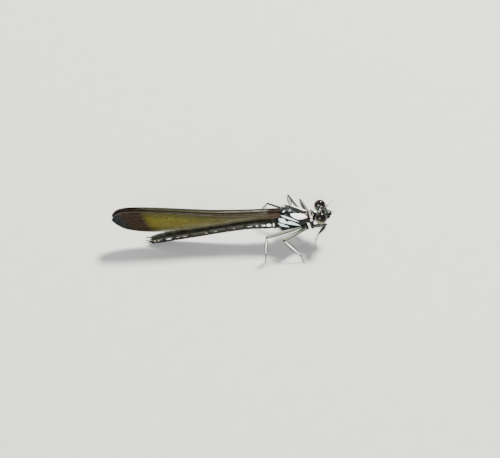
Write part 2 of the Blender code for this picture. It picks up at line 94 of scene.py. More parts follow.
SEGMENT_SHARES = (0.042, 0.075, 0.135, 0.145, 0.148, 0.143, 0.124, 0.086, 0.062, 0.04)
ABDOMEN_SHARES = (0.0, 0.1, 0.22, 0.5, 0.78, 0.92, 1.0)
ABDOMEN_HALF_WIDTH = (0.95, 0.92, 0.78, 0.76, 0.84, 0.8, 0.6)
ABDOMEN_HALF_HEIGHT = (0.92, 0.9, 0.76, 0.7, 0.7, 0.66, 0.52)
WING_SHARES = (0.0, 0.1, 0.22, 0.38, 0.55, 0.7, 0.82, 0.92, 0.975, 1.0)
LEADING_EDGE = (5.45, 5.42, 5.42, 5.58, 6.0, 6.4, 6.65, 6.65, 6.2, 5.35)
TRAILING_EDGE = (4.6, 4.55, 4.15, 3.45, 2.85, 2.6, 2.75, 3.35, 4.3, 5.05)
STIGMA = (0.82, 0.9)

# Where the random draws of the veins and of the bristles start
VEIN_SEED = 11
BRISTLE_SEED = 40

# Where the body frame lies in the row's frame
_low, _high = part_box("eye_right")
_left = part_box("eye_left")[1]
BODY_PLACE = np.array(
    (
        (_low.x + _high.x) * 500 - EYE_PLACE[0],
        (_low.y + _left.y) * 500,
        (_low.z + _high.z) * 500 - EYE_PLACE[2],
    )
)


# Shapes

def curve(stations, values):
    """A smooth line through a few values, as a function of an array of places."""
    x = np.asarray(stations, float)
    v = np.asarray(values, float)
    slope = np.empty_like(v)
    slope[1:-1] = (v[2:] - v[:-2]) / (x[2:] - x[:-2])
    slope[0] = (v[1] - v[0]) / (x[1] - x[0])
    slope[-1] = (v[-1] - v[-2]) / (x[-1] - x[-2])

    def value(at):
        at = np.clip(np.asarray(at, float), x[0], x[-1])
        i = np.clip(np.searchsorted(x, at, side="right") - 1, 0, len(x) - 2)
        width = x[i + 1] - x[i]
        t = (at - x[i]) / width
        a, b, rise = slope[i] * width, slope[i + 1] * width, v[i + 1] - v[i]
        return v[i] + t * (a + t * (3 * rise - 2 * a - b + t * (a + b - 2 * rise)))

    return value


def step_between(low, high, at):
    t = np.clip((at - low) / (high - low), 0, 1)
    return t * t * (3 - 2 * t)


def bump(at, middle, width):
    return np.exp(-(((at - middle) / width) ** 2))


def joined(fields, width):
    """The union of some distance fields, with rounded inner corners of that width."""
    result = fields[0]
    for other in fields[1:]:
        h = np.clip(0.5 + 0.5 * (other - result) / width, 0, 1)
        result = other * (1 - h) + result * h - width * h * (1 - h)
    return result


def cut_by(field, other, width):
    return -joined([-field, -other], width)


def ball(p, centre, radii):
    """Distance from an ellipsoid, near enough close to its surface."""
    r = np.asarray(radii, np.float32)
    k = (p - np.asarray(centre, np.float32)) / r
    far = np.sqrt((k * k).sum(-1)) + 1e-6
    steep = np.sqrt(((k / r) ** 2).sum(-1)) + 1e-6
    return far * (far - 1) / steep


def limb(p, start, end, start_radius, end_radius):
    start, end = np.asarray(start, np.float32), np.asarray(end, np.float32)
    line = end - start
    t = np.clip(((p - start) @ line) / (line @ line), 0, 1)
    gap = p - start - t[:, None] * line
    return np.sqrt((gap * gap).sum(-1)) - (start_radius + (end_radius - start_radius) * t)


def barrel(p, x, low, high, half_width, power=2.2, rear=0.3, front=0.12):
    """Distance from a body lofted along X, with its lowest, highest and half-width lines."""
    at = np.clip(p[:, 0], x[0], x[-1])
    bottom, top = curve(x, low)(at), curve(x, high)(at)
    width, height = curve(x, half_width)(at), (top - bottom) / 2
    u = np.abs(p[:, 1]) / width
    v = np.abs(p[:, 2] - (top + bottom) / 2) / height
    q = (u**power + v**power) ** (1 / power) + 1e-6
    steep = np.hypot((u / q) ** (power - 1) / width, (v / q) ** (power - 1) / height) + 1e-6
    side = (q - 1) / steep
    return cut_by(cut_by(side, x[0] - p[:, 0], rear), p[:, 0] - x[-1], front)


def skin(field, low, high, step):
    """A closed skin where a field that is the same on both sides is zero: its points and its quads."""
    count = [int(math.ceil((high[i] - low[i]) / step)) + 1 for i in range(3)]
    half = int(math.ceil(high[1] / step)) + 1
    x = low[0] + step * np.arange(count[0])
    y = step * (np.arange(half) + 0.5)
    z = low[2] + step * np.arange(count[2])
    grid = np.stack(np.meshgrid(x, y, z, indexing="ij"), -1).reshape(-1, 3).astype(np.float32)
    right = np.concatenate([field(part) for part in np.array_split(grid, 8)])
    right = right.reshape(count[0], half, count[2])
    values = np.concatenate((right[:, ::-1], right), 1)
    shape = values.shape
    origin = np.array((low[0], -step * (half - 0.5), low[2]))
    inside = values < 0
    corners = [(i, j, k) for i in (0, 1) for j in (0, 1) for k in (0, 1)]

    def part(grid, corner):
        return grid[tuple(slice(c, n - 1 + c) for c, n in zip(corner, shape))]

    total = sum(part(inside, c).astype(np.int8) for c in corners)
    cells = np.argwhere((total > 0) & (total < 8))
    number = np.full([n - 1 for n in shape], -1, np.int64)
    number[tuple(cells.T)] = np.arange(len(cells))
    place = np.zeros((len(cells), 3))
    crossings = np.zeros(len(cells))
    for a in corners:
        for axis in range(3):
            if a[axis]:
                continue
            b = tuple(c + (i == axis) for i, c in enumerate(a))
            va = values[tuple((cells + a).T)]
            vb = values[tuple((cells + b).T)]
            hit = (va < 0) != (vb < 0)
            t = np.where(hit, va / np.where(hit, va - vb, 1), 0)
            point = np.array(a, float) + t[:, None] * (np.array(b) - np.array(a))
            place += np.where(hit[:, None], point, 0)
            crossings += hit
    points = origin + step * (cells + place / crossings[:, None])
    quads = []
    for axis in range(3):
        one, two = (axis + 1) % 3, (axis + 2) % 3
        first = inside[tuple(slice(0, n - (i == axis)) for i, n in enumerate(shape))]
        second = inside[tuple(slice(1 if i == axis else 0, None) for i, n in enumerate(shape))]
        edges = np.argwhere(first != second)
        edges = edges[(edges[:, one] > 0) & (edges[:, two] > 0)]
        edges = edges[(edges[:, one] < shape[one] - 1) & (edges[:, two] < shape[two] - 1)]
        ring = []
        for back_one, back_two in ((1, 1), (0, 1), (0, 0), (1, 0)):
            cell = edges.copy()
            cell[:, one] -= back_one
            cell[:, two] -= back_two
            ring.append(number[tuple(cell.T)])
        ring = np.stack(ring, 1)
        outward = first[tuple(edges.T)]
        ring[~outward] = ring[~outward][:, ::-1]
        quads.append(ring)
    quads = np.concatenate(quads)
    points = settle(points, quads, field, step)
    return points, quads


def settle(points, quads, field, step, rounds=3):
    """Evens out a skin's points and lays them on the surface of its field."""
    reach = np.eye(3, dtype=np.float32) * step * 0.25
    ends = np.concatenate([quads[:, [i, (i + 1) % 4]] for i in range(4)])
    for turn in range(rounds + 1):
        if turn < rounds:
            around = np.zeros_like(points)
            count = np.zeros(len(points))
            np.add.at(around, ends[:, 0], points[ends[:, 1]])
            np.add.at(count, ends[:, 0], 1)
            points = points + 0.5 * (around / np.maximum(count, 1)[:, None] - points)
        near = points.astype(np.float32)
        value = field(near)
        slope = np.stack([(field(near + r) - field(near - r)) for r in reach], 1) / (step * 0.5)
        size = (slope * slope).sum(1) + 1e-4
        move = -slope * (value / size)[:, None]
        length = np.linalg.norm(move, axis=1, keepdims=True) + 1e-9
        points = points + move * np.minimum(1, 0.5 * step / length)
    return points


def ring_faces(rings, sides, first=0):
    """Quads between rings of points that follow one another."""
    a = first + np.arange((rings - 1) * sides).reshape(rings - 1, sides)
    b = np.roll(a, -1, 1)
    return np.stack((a, b, b + sides, a + sides), -1).reshape(-1, 4)


def closed_loft(rings):
    """A closed skin through rings of points, with a point at the middle of each end."""
    rings = np.asarray(rings, float)
    count, sides = rings.shape[:2]
    points = np.concatenate((rings.reshape(-1, 3), rings[:1].mean(1), rings[-1:].mean(1)))
    faces = [tuple(f) for f in ring_faces(count, sides).tolist()]
    last = (count - 1) * sides
    for k in range(sides):
        n = (k + 1) % sides
        faces.append((n, k, count * sides))
        faces.append((last + k, last + n, count * sides + 1))
    return points, faces


def swept(path, wide, thin, facing, sides=16):
    """Rings of ovals along a path. The thin way of each oval turns towards the facing direction."""
    path = np.asarray(path, float)
    along = np.gradient(path, axis=0)
    along /= np.linalg.norm(along, axis=1, keepdims=True)
    facing = np.broadcast_to(np.asarray(facing, float), path.shape)
    across = np.cross(along, facing)
    across /= np.linalg.norm(across, axis=1, keepdims=True)
    out = np.cross(across, along)
    angles = np.arange(sides) * 2 * math.pi / sides
    c, s = np.cos(angles), np.sin(angles)
    wide, thin = np.asarray(wide, float)[:, None, None], np.asarray(thin, float)[:, None, None]
    rings = path[:, None] + across[:, None] * c[None, :, None] * wide + out[:, None] * s[None, :, None] * thin
    return rings, across, out, along


def rounded_path(corners, radius, spacing):
    """Evenly spaced points along straight stretches, with the corners rounded."""
    corners = [np.asarray(c, float) for c in corners]
    path = [corners[0]]
    for before, corner, after in zip(corners, corners[1:], corners[2:]):
        into, out = corner - before, after - corner
        reach = min(radius, 0.45 * np.linalg.norm(into), 0.45 * np.linalg.norm(out))
        start = corner - into / np.linalg.norm(into) * reach
        end = corner + out / np.linalg.norm(out) * reach
        for t in np.linspace(0, 1, 9):
            path.append(start * (1 - t) ** 2 + corner * 2 * t * (1 - t) + end * t * t)
    path.append(corners[-1])
    path = np.array(path)
    length = np.concatenate(([0], np.cumsum(np.linalg.norm(np.diff(path, axis=0), axis=1))))
    at = np.linspace(0, length[-1], max(8, int(length[-1] / spacing)))
    return np.stack([np.interp(at, length, path[:, i]) for i in range(3)], 1), at


def merged(shapes):
    """Several (points, faces) as one."""
    points, faces, start = [], [], 0
    for some_points, some_faces in shapes:
        points.append(np.asarray(some_points, float))
        faces += [tuple(i + start for i in f) for f in np.asarray(some_faces, dtype=object).tolist()]
        start += len(some_points)
    return np.concatenate(points), faces


def outline_distance(x, v, corners):
    """Distance inside (positive) or outside (negative) a closed outline in a plane."""
    near = np.full(len(x), 1e9)
    inside = np.zeros(len(x), bool)
    for (x0, v0), (x1, v1) in zip(corners, corners[1:] + corners[:1]):
        dx, dv = x1 - x0, v1 - v0
        t = np.clip(((x - x0) * dx + (v - v0) * dv) / (dx * dx + dv * dv), 0, 1)
        near = np.minimum(near, np.hypot(x - x0 - t * dx, v - v0 - t * dv))
        cross = ((v0 > v) != (v1 > v)) & (x < dx * (v - v0) / (v1 - v0 if v1 != v0 else 1e-9) + x0)
        inside ^= cross
    return np.where(inside, near, -near)


# Pieces

def mesh_piece(name, points, faces, materials, attributes=None, smooth=True):
    """A mesh object with its place in its mesh, from points in millimetres."""
    mesh = bpy.data.meshes.new(name)
    points = (np.asarray(points, float) + BODY_PLACE) * 0.001
    faces = faces.tolist() if isinstance(faces, np.ndarray) else faces
    mesh.from_pydata(points.tolist(), [], faces)
    for made in materials:
        mesh.materials.append(made)
    for label, values in (attributes or {}).items():
        made = mesh.attributes.new(label, "FLOAT", "POINT")
        made.data.foreach_set("value", np.asarray(values, np.float32))
    mesh.polygons.foreach_set("use_smooth", [smooth] * len(mesh.polygons))
    mesh.update()
    piece = bpy.data.objects.new(name, mesh)
    bpy.context.scene.collection.objects.link(piece)
    return piece


def finish_piece(piece, replaced=()):
    """Ties a mesh to the body, in place of the nodes it dresses."""
    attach(piece, "root")
    if replaced:
        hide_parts(*replaced)
    return piece


def add_points(name, points, attributes, edges=()):
    """A carrier mesh of bare points, in millimetres, for a node tree to build on."""
    mesh = bpy.data.meshes.new(name)
    mesh.from_pydata(np.asarray(points, float).tolist(), list(edges), [])
    for label, values in attributes.items():
        values = np.asarray(values, np.float32)
        kind = "FLOAT_VECTOR" if values.ndim == 2 else "FLOAT"
        made = mesh.attributes.new(label, kind, "POINT")
        made.data.foreach_set("vector" if values.ndim == 2 else "value", values.ravel())
    carrier = bpy.data.objects.new(name, mesh)
    bpy.context.scene.collection.objects.link(carrier)
    return carrier


def grown(carrier, tree, values, smooth=True):
    """The plain mesh that a node tree makes on a carrier, turned into metres in the row's frame."""
    modifier = carrier.modifiers.new(tree.name, "NODES")
    modifier.node_group = tree
    for item in tree.interface.items_tree:
        if item.item_type == "SOCKET" and item.in_out == "INPUT" and item.name in values:
            modifier[item.identifier] = values[item.name]
    bpy.context.view_layer.update()
    evaluated = carrier.evaluated_get(bpy.context.evaluated_depsgraph_get())
    mesh = bpy.data.meshes.new_from_object(evaluated)
    carrier.modifiers.remove(modifier)
    co = np.empty(len(mesh.vertices) * 3, np.float32)
    mesh.vertices.foreach_get("co", co)
    co = (co.reshape(-1, 3) + BODY_PLACE) * 0.001
    mesh.vertices.foreach_set("co", co.astype(np.float32).ravel())
    mesh.polygons.foreach_set("use_smooth", [smooth] * len(mesh.polygons))
    mesh.update()
    old = carrier.data
    carrier.data = mesh
    mesh.name = carrier.name
    bpy.data.meshes.remove(old)
    return carrier


# Node trees

def fill(tree, node, inputs):
    """Links each named input of a node to a socket, or sets it to a value."""
    for label, value in inputs.items():
        if isinstance(value, bpy.types.NodeSocket):
            tree.links.new(value, node.inputs[label])
        else:
            node.inputs[label].default_value = value


def wired(tree, kind, inputs=None, **settings):
    """A new node with its settings and its inputs."""
    made = tree.nodes.new(kind)
    for key, value in settings.items():
        setattr(made, key, value)
    fill(tree, made, inputs or {})
    return made


def product(tree, a, b):
    return wired(tree, "ShaderNodeMath", {0: a, 1: b}, operation="MULTIPLY").outputs[0]


def named(tree, kind, label):
    made = wired(tree, "GeometryNodeInputNamedAttribute", {"Name": label}, data_type=kind)
    return made.outputs["Attribute"]


def new_tree(name, kind, inputs, outputs):
    """An empty node tree with its named inputs and outputs: the tree, what it is given, and its last node."""
    tree = bpy.data.node_groups.new(name, kind)
    for way, sockets in (("INPUT", inputs), ("OUTPUT", outputs)):
        for label, socket, default in sockets:
            made = tree.interface.new_socket(label, in_out=way, socket_type=f"NodeSocket{socket}")
            if default is not None:
                made.default_value = default
    start = tree.nodes.new("NodeGroupInput")
    return tree, start.outputs, tree.nodes.new("NodeGroupOutput")


def geometry_tree(name, *inputs):
    shape = ("Geometry", "Geometry", None)
    return new_tree(name, "GeometryNodeTree", (shape, *inputs, ("Material", "Material", None)), (shape,))


def end_tree(tree, given, end, geometry):
    """Makes real meshes of what the tree has built, in its one material."""
    real = wired(tree, "GeometryNodeRealizeInstances", {"Geometry": geometry})
    inputs = {"Geometry": real.outputs[0], "Material": given["Material"]}
    fill(tree, end, {"Geometry": wired(tree, "GeometryNodeSetMaterial", inputs).outputs[0]})
    return tree


def tapered_tube(tree, given, line, radius):
    """A closed tube along a line, with as many sides as the tree is given."""
    section = wired(tree, "GeometryNodeCurvePrimitiveCircle", {"Radius": 1.0, "Resolution": given["Sides"]})
    inputs = {"Curve": line.outputs[0], "Profile Curve": section.outputs[0], "Scale": radius}
    return wired(tree, "GeometryNodeCurveToMesh", {**inputs, "Fill Caps": True}).outputs[0]


def vein_tree():
    """Tubes along the edges of the carrier, as thick as each point says."""
    tree, given, end = geometry_tree("Wing veins", ("Thickness", "Float", 1.0), ("Sides", "Int", 6))
    line = wired(tree, "GeometryNodeMeshToCurve", {"Mesh": given["Geometry"]})
    radius = product(tree, named(tree, "FLOAT", "thickness"), given["Thickness"])
    return end_tree(tree, given, end, tapered_tube(tree, given, line, radius))


def bristle_tree():
    """A thin bent cone on each point of the carrier, along its direction and as long as the point says."""
    tree, given, end = geometry_tree(
        "Bristles",
        ("Length", "Float", 1.0),
        ("Root Radius", "Float", 0.012),
        ("Bend", "Float", 0.2),
        ("Sides", "Int", 4),
    )
    tip = wired(tree, "ShaderNodeCombineXYZ", {"X": given["Bend"], "Z": 1.0})
    line = wired(
        tree,
        "GeometryNodeCurveQuadraticBezier",
        {"Resolution": 3, "Start": (0, 0, 0), "Middle": (0, 0, 0.5), "End": tip.outputs[0]},
    )
    share = wired(tree, "GeometryNodeSplineParameter").outputs["Factor"]
    taper = wired(tree, "ShaderNodeMapRange", {"Value": share, "To Min": 1.0, "To Max": 0.12})
    radius = product(tree, taper.outputs["Result"], given["Root Radius"])
    direction = named(tree, "FLOAT_VECTOR", "direction")
    stand = wired(tree, "FunctionNodeAlignRotationToVector", {"Vector": direction}, axis="Z")
    lean = wired(
        tree,
        "FunctionNodeAlignRotationToVector",
        {"Rotation": stand.outputs["Rotation"], "Vector": named(tree, "FLOAT_VECTOR", "lean")},
        axis="X",
        pivot_axis="Z",
    )
    length = product(tree, named(tree, "FLOAT", "length"), given["Length"])
    spread = wired(tree, "ShaderNodeCombineXYZ", {"X": 1.0, "Y": 1.0, "Z": length})
    plant = wired(
        tree,
        "GeometryNodeInstanceOnPoints",
        {
            "Points": given["Geometry"],
            "Instance": tapered_tube(tree, given, line, radius),
            "Rotation": lean.outputs["Rotation"],
            "Scale": spread.outputs[0],
        },
    )
    return end_tree(tree, given, end, plant.outputs[0])


def facet_tree():
    """An oval covered in six-sided facets, each a low dome."""
    tree, given, end = geometry_tree(
        "Eye facets", ("Radii", "Vector", (0.8, 0.8, 0.9)), ("Fineness", "Int", 6), ("Rise", "Float", 0.001)
    )
    sphere = wired(tree, "GeometryNodeMeshIcoSphere", {"Radius": 1.0, "Subdivisions": given["Fineness"]})
    cells = wired(tree, "GeometryNodeDualMesh", {"Mesh": sphere.outputs["Mesh"]})
    fit = wired(tree, "GeometryNodeTransform", {"Geometry": cells.outputs[0], "Scale": given["Radii"]})
    lift = wired(
        tree,
        "GeometryNodeExtrudeMesh",
        {"Mesh": fit.outputs[0], "Offset Scale": given["Rise"], "Individual": True},
        mode="FACES",
    )
    gather = wired(
        tree,
        "GeometryNodeScaleElements",
        {"Geometry": lift.outputs["Mesh"], "Selection": lift.outputs["Top"], "Scale": 0.0},
    )
    weld = wired(tree, "GeometryNodeMergeByDistance", {"Geometry": gather.outputs[0], "Distance": 0.0002})
    return end_tree(tree, given, end, weld.outputs[0])


# Materials

class Paint:
    """A material under construction, with short ways to add its nodes."""

    def __init__(self, name):
        self.made = bpy.data.materials.new(name)
        self.made.use_nodes = True
        self.tree = self.made.node_tree
        self.shader = self.tree.nodes["Principled BSDF"]
        self.at = None

    def node(self, kind, inputs=None, **settings):
        return wired(self.tree, kind, inputs, **settings)

    def place(self):
        """Object coordinates in millimetres."""
        if self.at is None:
            inputs = {0: self.node("ShaderNodeTexCoord").outputs["Object"], "Scale": 1000.0}
            self.at = self.node("ShaderNodeVectorMath", inputs, operation="SCALE").outputs[0]
        return self.at

    def attribute(self, name):
        return self.node("ShaderNodeAttribute", attribute_name=name).outputs["Fac"]

    def noise(self, scale, detail=3.0, roughness=0.5):
        inputs = {"Vector": self.place(), "Scale": scale, "Detail": detail, "Roughness": roughness}
        return self.node("ShaderNodeTexNoise", inputs).outputs["Fac"]

    def ramp(self, value, low, high, to_low=0.0, to_high=1.0):
        inputs = {"Value": value, "From Min": low, "From Max": high, "To Min": to_low, "To Max": to_high}
        return self.node("ShaderNodeMapRange", inputs, interpolation_type="SMOOTHSTEP").outputs["Result"]

    def math(self, operation, *values):
        return self.node("ShaderNodeMath", dict(enumerate(values)), operation=operation).outputs[0]

    def plus(self, a, b):
        return self.math("ADD", a, b)

    def times(self, a, b):
        return self.math("MULTIPLY", a, b)

    def swing(self, noise, size):
        """A noise around zero, as wide as the size."""
        return self.times(self.math("SUBTRACT", noise, 0.5), size)

    def mix(self, share, a, b):
        made = self.node("ShaderNodeMix", {"Factor": share}, data_type="RGBA")
        for label, value in (("A", a), ("B", b)):
            socket = next(s for s in made.inputs if s.name == label and s.type == "RGBA")
            if isinstance(value, bpy.types.NodeSocket):
                self.tree.links.new(value, socket)
            else:
                socket.default_value = (*value[:3], 1.0)
        return next(s for s in made.outputs if s.type == "RGBA")

    def colours(self, value, stops):
        made = self.node("ShaderNodeValToRGB", {"Fac": value})
        elements = made.color_ramp.elements
        while len(elements) < len(stops):
            elements.new(0.5)
        for element, (place, colour) in zip(elements, stops):
            element.position = place
            element.color = (*colour, 1.0)
        return made.outputs["Color"]

    def grain(self, values):
        """The shell's grain as a node, with the values that differ from its own."""
        tree = shared("Shell grain", shell_grain)
        return self.node("ShaderNodeGroup", {"Place": self.place(), **values}, node_tree=tree).outputs

    def bump(self, height, distance, strength):
        made = self.node("ShaderNodeBump", {"Height": height, "Distance": distance, "Strength": strength})
        fill(self.tree, self.shader, {"Normal": made.outputs["Normal"]})

    def set(self, **values):
        fill(self.tree, self.shader, {label.replace("_", " "): value for label, value in values.items()})
        return self.made


def shell_grain():
    """The fine grain of insect shell: shallow pits and creases as a height, and worn spots as a mask."""
    tree, given, end = new_tree(
        "Shell grain",
        "ShaderNodeTree",
        (
            ("Place", "Vector", None),
            ("Pits per mm", "Float", 9.0),
            ("Pit Depth", "Float", 0.6),
            ("Creases per mm", "Float", 14.0),
            ("Crease Depth", "Float", 0.3),
        ),
        (("Height", "Float", None), ("Worn", "Float", None)),
    )
    place = given["Place"]
    pits = wired(
        tree,
        "ShaderNodeTexVoronoi",
        {"Vector": place, "Scale": given["Pits per mm"], "Smoothness": 0.4},
        feature="SMOOTH_F1",
    )
    creases = wired(
        tree,
        "ShaderNodeTexNoise",
        {"Vector": place, "Scale": given["Creases per mm"], "Detail": 4.0, "Distortion": 0.6},
    )
    pitted = product(tree, pits.outputs["Distance"], given["Pit Depth"])
    creased = product(tree, creases.outputs["Fac"], given["Crease Depth"])
    total = wired(tree, "ShaderNodeMath", {0: pitted, 1: creased}, operation="ADD")
    patches = wired(tree, "ShaderNodeTexNoise", {"Vector": place, "Scale": 1.7, "Detail": 4.0})
    inputs = {"Value": patches.outputs["Fac"], "From Min": 0.45, "From Max": 0.75}
    worn = wired(tree, "ShaderNodeMapRange", inputs).outputs["Result"]
    fill(tree, end, {"Height": total.outputs[0], "Worn": worn})
    return tree


def shared(name, build):
    return bpy.data.node_groups.get(name) or build()


def shell_material(name, dark, gloss, colours, pits=9.0, roughness=0.25, coat=0.06):
    """Black shell with a coloured gloss. Pale marks come from the pale attribute, their hue from tint."""
    if name in bpy.data.materials:
        return bpy.data.materials[name]
    paint = Paint(name)
    grain = paint.grain({"Pits per mm": pits, "Pit Depth": 0.6, "Crease Depth": 0.35})
    ground = paint.mix(grain["Worn"], dark, gloss)
    wander = paint.swing(paint.noise(6.0), 0.06)
    pale = paint.ramp(paint.plus(paint.attribute("pale"), wander), -0.02, 0.035)
    hue = paint.colours(paint.attribute("tint"), colours)
    mottle = paint.ramp(paint.noise(11.0, 4.0, 0.6), 0.3, 0.75, 0.78, 1.0)
    hue = paint.mix(mottle, tuple(c * 0.55 for c in colours[0][1]), hue)
    paint.bump(grain["Height"], 0.000012, 0.8)
    worn = paint.ramp(grain["Worn"], 0.0, 1.0, roughness, roughness + 0.14)
    rough = paint.plus(worn, paint.times(pale, 0.12))
    metal = paint.ramp(pale, 0.0, 1.0, 0.15, 0.0)
    return paint.set(
        Base_Color=paint.mix(pale, ground, hue),
        Roughness=rough,
        Metallic=metal,
        Coat_Weight=coat,
        Coat_Roughness=0.12,
        Specular_IOR_Level=0.17,
    )


def dark_material(name, low, high, scale=6.0, roughness=0.4, coat=0.2, bump_distance=0.000006):
    """A dark, slightly uneven finish for veins, claws and bristles."""
    if name in bpy.data.materials:
        return bpy.data.materials[name]
    paint = Paint(name)
    spots = paint.noise(scale, 4.0, 0.6)
    paint.bump(paint.noise(scale * 5, 2.0), bump_distance, 0.6)
    return paint.set(
        Base_Color=paint.mix(paint.ramp(spots, 0.3, 0.7), low, high),
        Roughness=paint.ramp(spots, 0.3, 0.7, roughness - 0.06, roughness + 0.08),
        Coat_Weight=coat,
    )


def eye_material(colours):
    if "Faceted eye" in bpy.data.materials:
        return bpy.data.materials["Faceted eye"]
    paint = Paint("Faceted eye")
    at = paint.node("ShaderNodeSeparateXYZ", {"Vector": paint.place()}).outputs
    height = paint.math("SUBTRACT", at["Z"], EYE_PLACE[2] + float(BODY_PLACE[2]))
    ahead = paint.math("SUBTRACT", at["X"], EYE_PLACE[0] + float(BODY_PLACE[0]))
    slant = paint.plus(height, paint.times(ahead, 0.25))
    slant = paint.plus(slant, paint.times(paint.noise(3.0, 3.0), 0.16))
    zone = paint.ramp(slant, 0.04, 0.2)
    body = paint.mix(zone, colours.eye_low, colours.eye_high)
    mottle = paint.ramp(paint.noise(7.0, 4.0, 0.6), 0.35, 0.7)
    paint.bump(paint.noise(26.0, 2.0), 0.000004, 0.5)
    return paint.set(
        Base_Color=paint.mix(paint.times(mottle, 0.06), body, (0.04, 0.025, 0.012)),
        Roughness=paint.ramp(mottle, 0.0, 1.0, 0.12, 0.2),
        Coat_Weight=0.05,
        Coat_Roughness=0.06,
        Specular_IOR_Level=0.15,
    )


def membrane_material(colours):
    if "Wing membrane" in bpy.data.materials:
        return bpy.data.materials["Wing membrane"]
    paint = Paint("Wing membrane")
    span, chord = paint.attribute("span"), paint.attribute("chord")
    clouds = paint.noise(1.1, 4.0, 0.55)
    fine = paint.noise(8.0, 3.0, 0.6)
    wander = paint.swing(clouds, 0.05)
    # The dark tip reaches further towards the root along the trailing edge
    edge = paint.plus(span, paint.times(chord, 0.077))
    edge = paint.plus(edge, wander)
    dark = paint.ramp(edge, 0.785, 0.86)
    blue = paint.ramp(edge, 0.94, 1.0)
    root = paint.ramp(span, 0.05, 0.12, 1.0, 0.0)
    amber = paint.mix(paint.ramp(fine, 0.3, 0.7), colours.wing_amber, colours.wing_olive)
    # The wing is darker towards its root and streaked along its veins. Its darker trailing edge is painted
    # shade, standing for the abdomen and its shadow lying behind the wing.
    dusk_shade = paint.plus(chord, paint.times(wander, 1.6))
    # Painted shade along the trailing edge
    amber = paint.mix(paint.ramp(dusk_shade, 0.66, 0.82, 0.0, 0.6), amber, colours.wing_dusk_and_painted_shade)
    amber = paint.mix(paint.ramp(span, 0.2, 0.6, 0.5, 0.0), amber, colours.wing_dusk_and_painted_shade)
    # The folded leading edge is thicker and darker
    lead = paint.ramp(paint.plus(chord, wander), 0.1, 0.34, 1.0, 0.0)
    amber = paint.mix(paint.times(lead, 0.75), amber, colours.wing_dusk_and_painted_shade)
    stripes = paint.math("SINE", paint.times(paint.plus(chord, wander), 46.0))
    streak = paint.times(paint.ramp(stripes, 0.1, 0.9), paint.ramp(span, 0.35, 0.75, 0.5, 0.1))
    amber = paint.mix(streak, amber, colours.wing_dusk_and_painted_shade)
    body = paint.mix(dark, amber, colours.wing_dark)
    body = paint.mix(blue, body, colours.wing_tip)
    body = paint.mix(paint.times(root, 0.8), body, colours.wing_root)
    cover = paint.plus(0.46, paint.times(dark, 0.52))
    cover = paint.plus(cover, paint.swing(clouds, 0.25))
    cover = paint.math("MAXIMUM", cover, paint.times(root, 0.9))
    cover = paint.math("MAXIMUM", cover, paint.times(lead, 0.82))
    ripple = paint.plus(paint.noise(2.2, 2.0), paint.times(paint.noise(9.0, 3.0), 0.35))
    paint.bump(ripple, 0.00005, 0.8)
    return paint.set(
        Base_Color=body,
        Roughness=paint.ramp(fine, 0.3, 0.7, 0.36, 0.5),
        Alpha=paint.math("MINIMUM", cover, 0.97),
        Specular_IOR_Level=0.07,
    )


def leg_material(colours):
    if "Leg shell" in bpy.data.materials:
        return bpy.data.materials["Leg shell"]
    paint = Paint("Leg shell")
    grain = paint.grain({"Pits per mm": 16.0, "Pit Depth": 0.35, "Crease Depth": 0.5})
    wander = paint.swing(paint.noise(5.0), 0.1)
    pale = paint.ramp(paint.plus(paint.attribute("pale"), wander), -0.03, 0.07)
    hue = paint.mix(paint.attribute("tint"), colours.leg_grey, colours.leg_white)
    paint.bump(grain["Height"], 0.00001, 0.8)
    return paint.set(
        Base_Color=paint.mix(pale, colours.leg_black, hue),
        Roughness=paint.ramp(grain["Worn"], 0.0, 1.0, 0.32, 0.5),
        Coat_Weight=0.05,
        Coat_Roughness=0.2,
        Specular_IOR_Level=0.3,
    )


# Sizes and colours that a user may change

def colour(name, description, default):
    return FloatVectorProperty(
        name=name, description=description, default=default, size=3, min=0, max=1, subtype="COLOR"
    )


def length(name, description, default, least):
    return FloatProperty(
        name=name, description=description, default=default, min=least, unit="LENGTH", precision=7
    )


class DamselflySizes(bpy.types.PropertyGroup):
    skin_step: length("Skin step", "Width of the skin's mesh cells", 0.00004, 0.00002)
    facet_rise: length("Facet rise", "Height of each facet of an eye", 0.0000009, 0)
    facet_fineness: IntProperty(
        name="Facet fineness", description="Times that an eye's facets are divided", default=6, min=3, max=7
    )
    vein_thickness: FloatProperty(
        name="Vein thickness", description="Share of the drawn thickness of the wing veins", default=1.0,
        min=0.2, max=3,
    )
    membrane_thickness: length("Membrane thickness", "Thickness of a wing's membrane", 0.000016, 0.000004)
    bristle_length: length("Bristle length", "Length of the longest bristles of the legs", 0.00045, 0.00005)


class DamselflyColours(bpy.types.PropertyGroup):
    shell_dark: colour("Shell", "Ground of head and thorax", (0.004, 0.005, 0.005))
    shell_gloss: colour("Shell gloss", "Green gloss of head and thorax", (0.005, 0.02, 0.018))
    abdomen_dark: colour("Abdomen", "Ground of the abdomen", (0.008, 0.008, 0.005))
    abdomen_gloss: colour("Abdomen gloss", "Bronze gloss of the abdomen", (0.022, 0.022, 0.01))
    eye_high: colour("Eye above", "Upper part of the eyes", (0.004, 0.003, 0.002))
    eye_low: colour("Eye below", "Lower part of the eyes", (0.13, 0.12, 0.075))
    wing_amber: colour("Wing amber", "Clear part of the wings", (0.16, 0.13, 0.008))
    wing_olive: colour("Wing olive", "Duller cells of the wings", (0.085, 0.082, 0.008))
    # This colour also paints the shade along the trailing edge of the wings
    wing_dusk_and_painted_shade: colour("Wing dusk", "Streaks and trailing edge of the wings", (0.022, 0.024, 0.006))
    wing_dark: colour("Wing dark", "Dark end of the wings", (0.012, 0.006, 0.002))
    wing_tip: colour("Wing tip", "Outermost end of the wings", (0.004, 0.008, 0.009))
    wing_root: colour("Wing root", "Root of the wings", (0.04, 0.014, 0.01))
    leg_white: colour("Shin", "Pale face of the shins", (0.75, 0.78, 0.72))
    leg_grey: colour("Thigh", "Pale face of the thighs", (0.12, 0.155, 0.1))
    leg_black: colour("Leg edges", "Dark edges of the legs", (0.005, 0.006, 0.004))
    floor: colour("Floor", "Studio floor", (0.46, 0.46, 0.445))


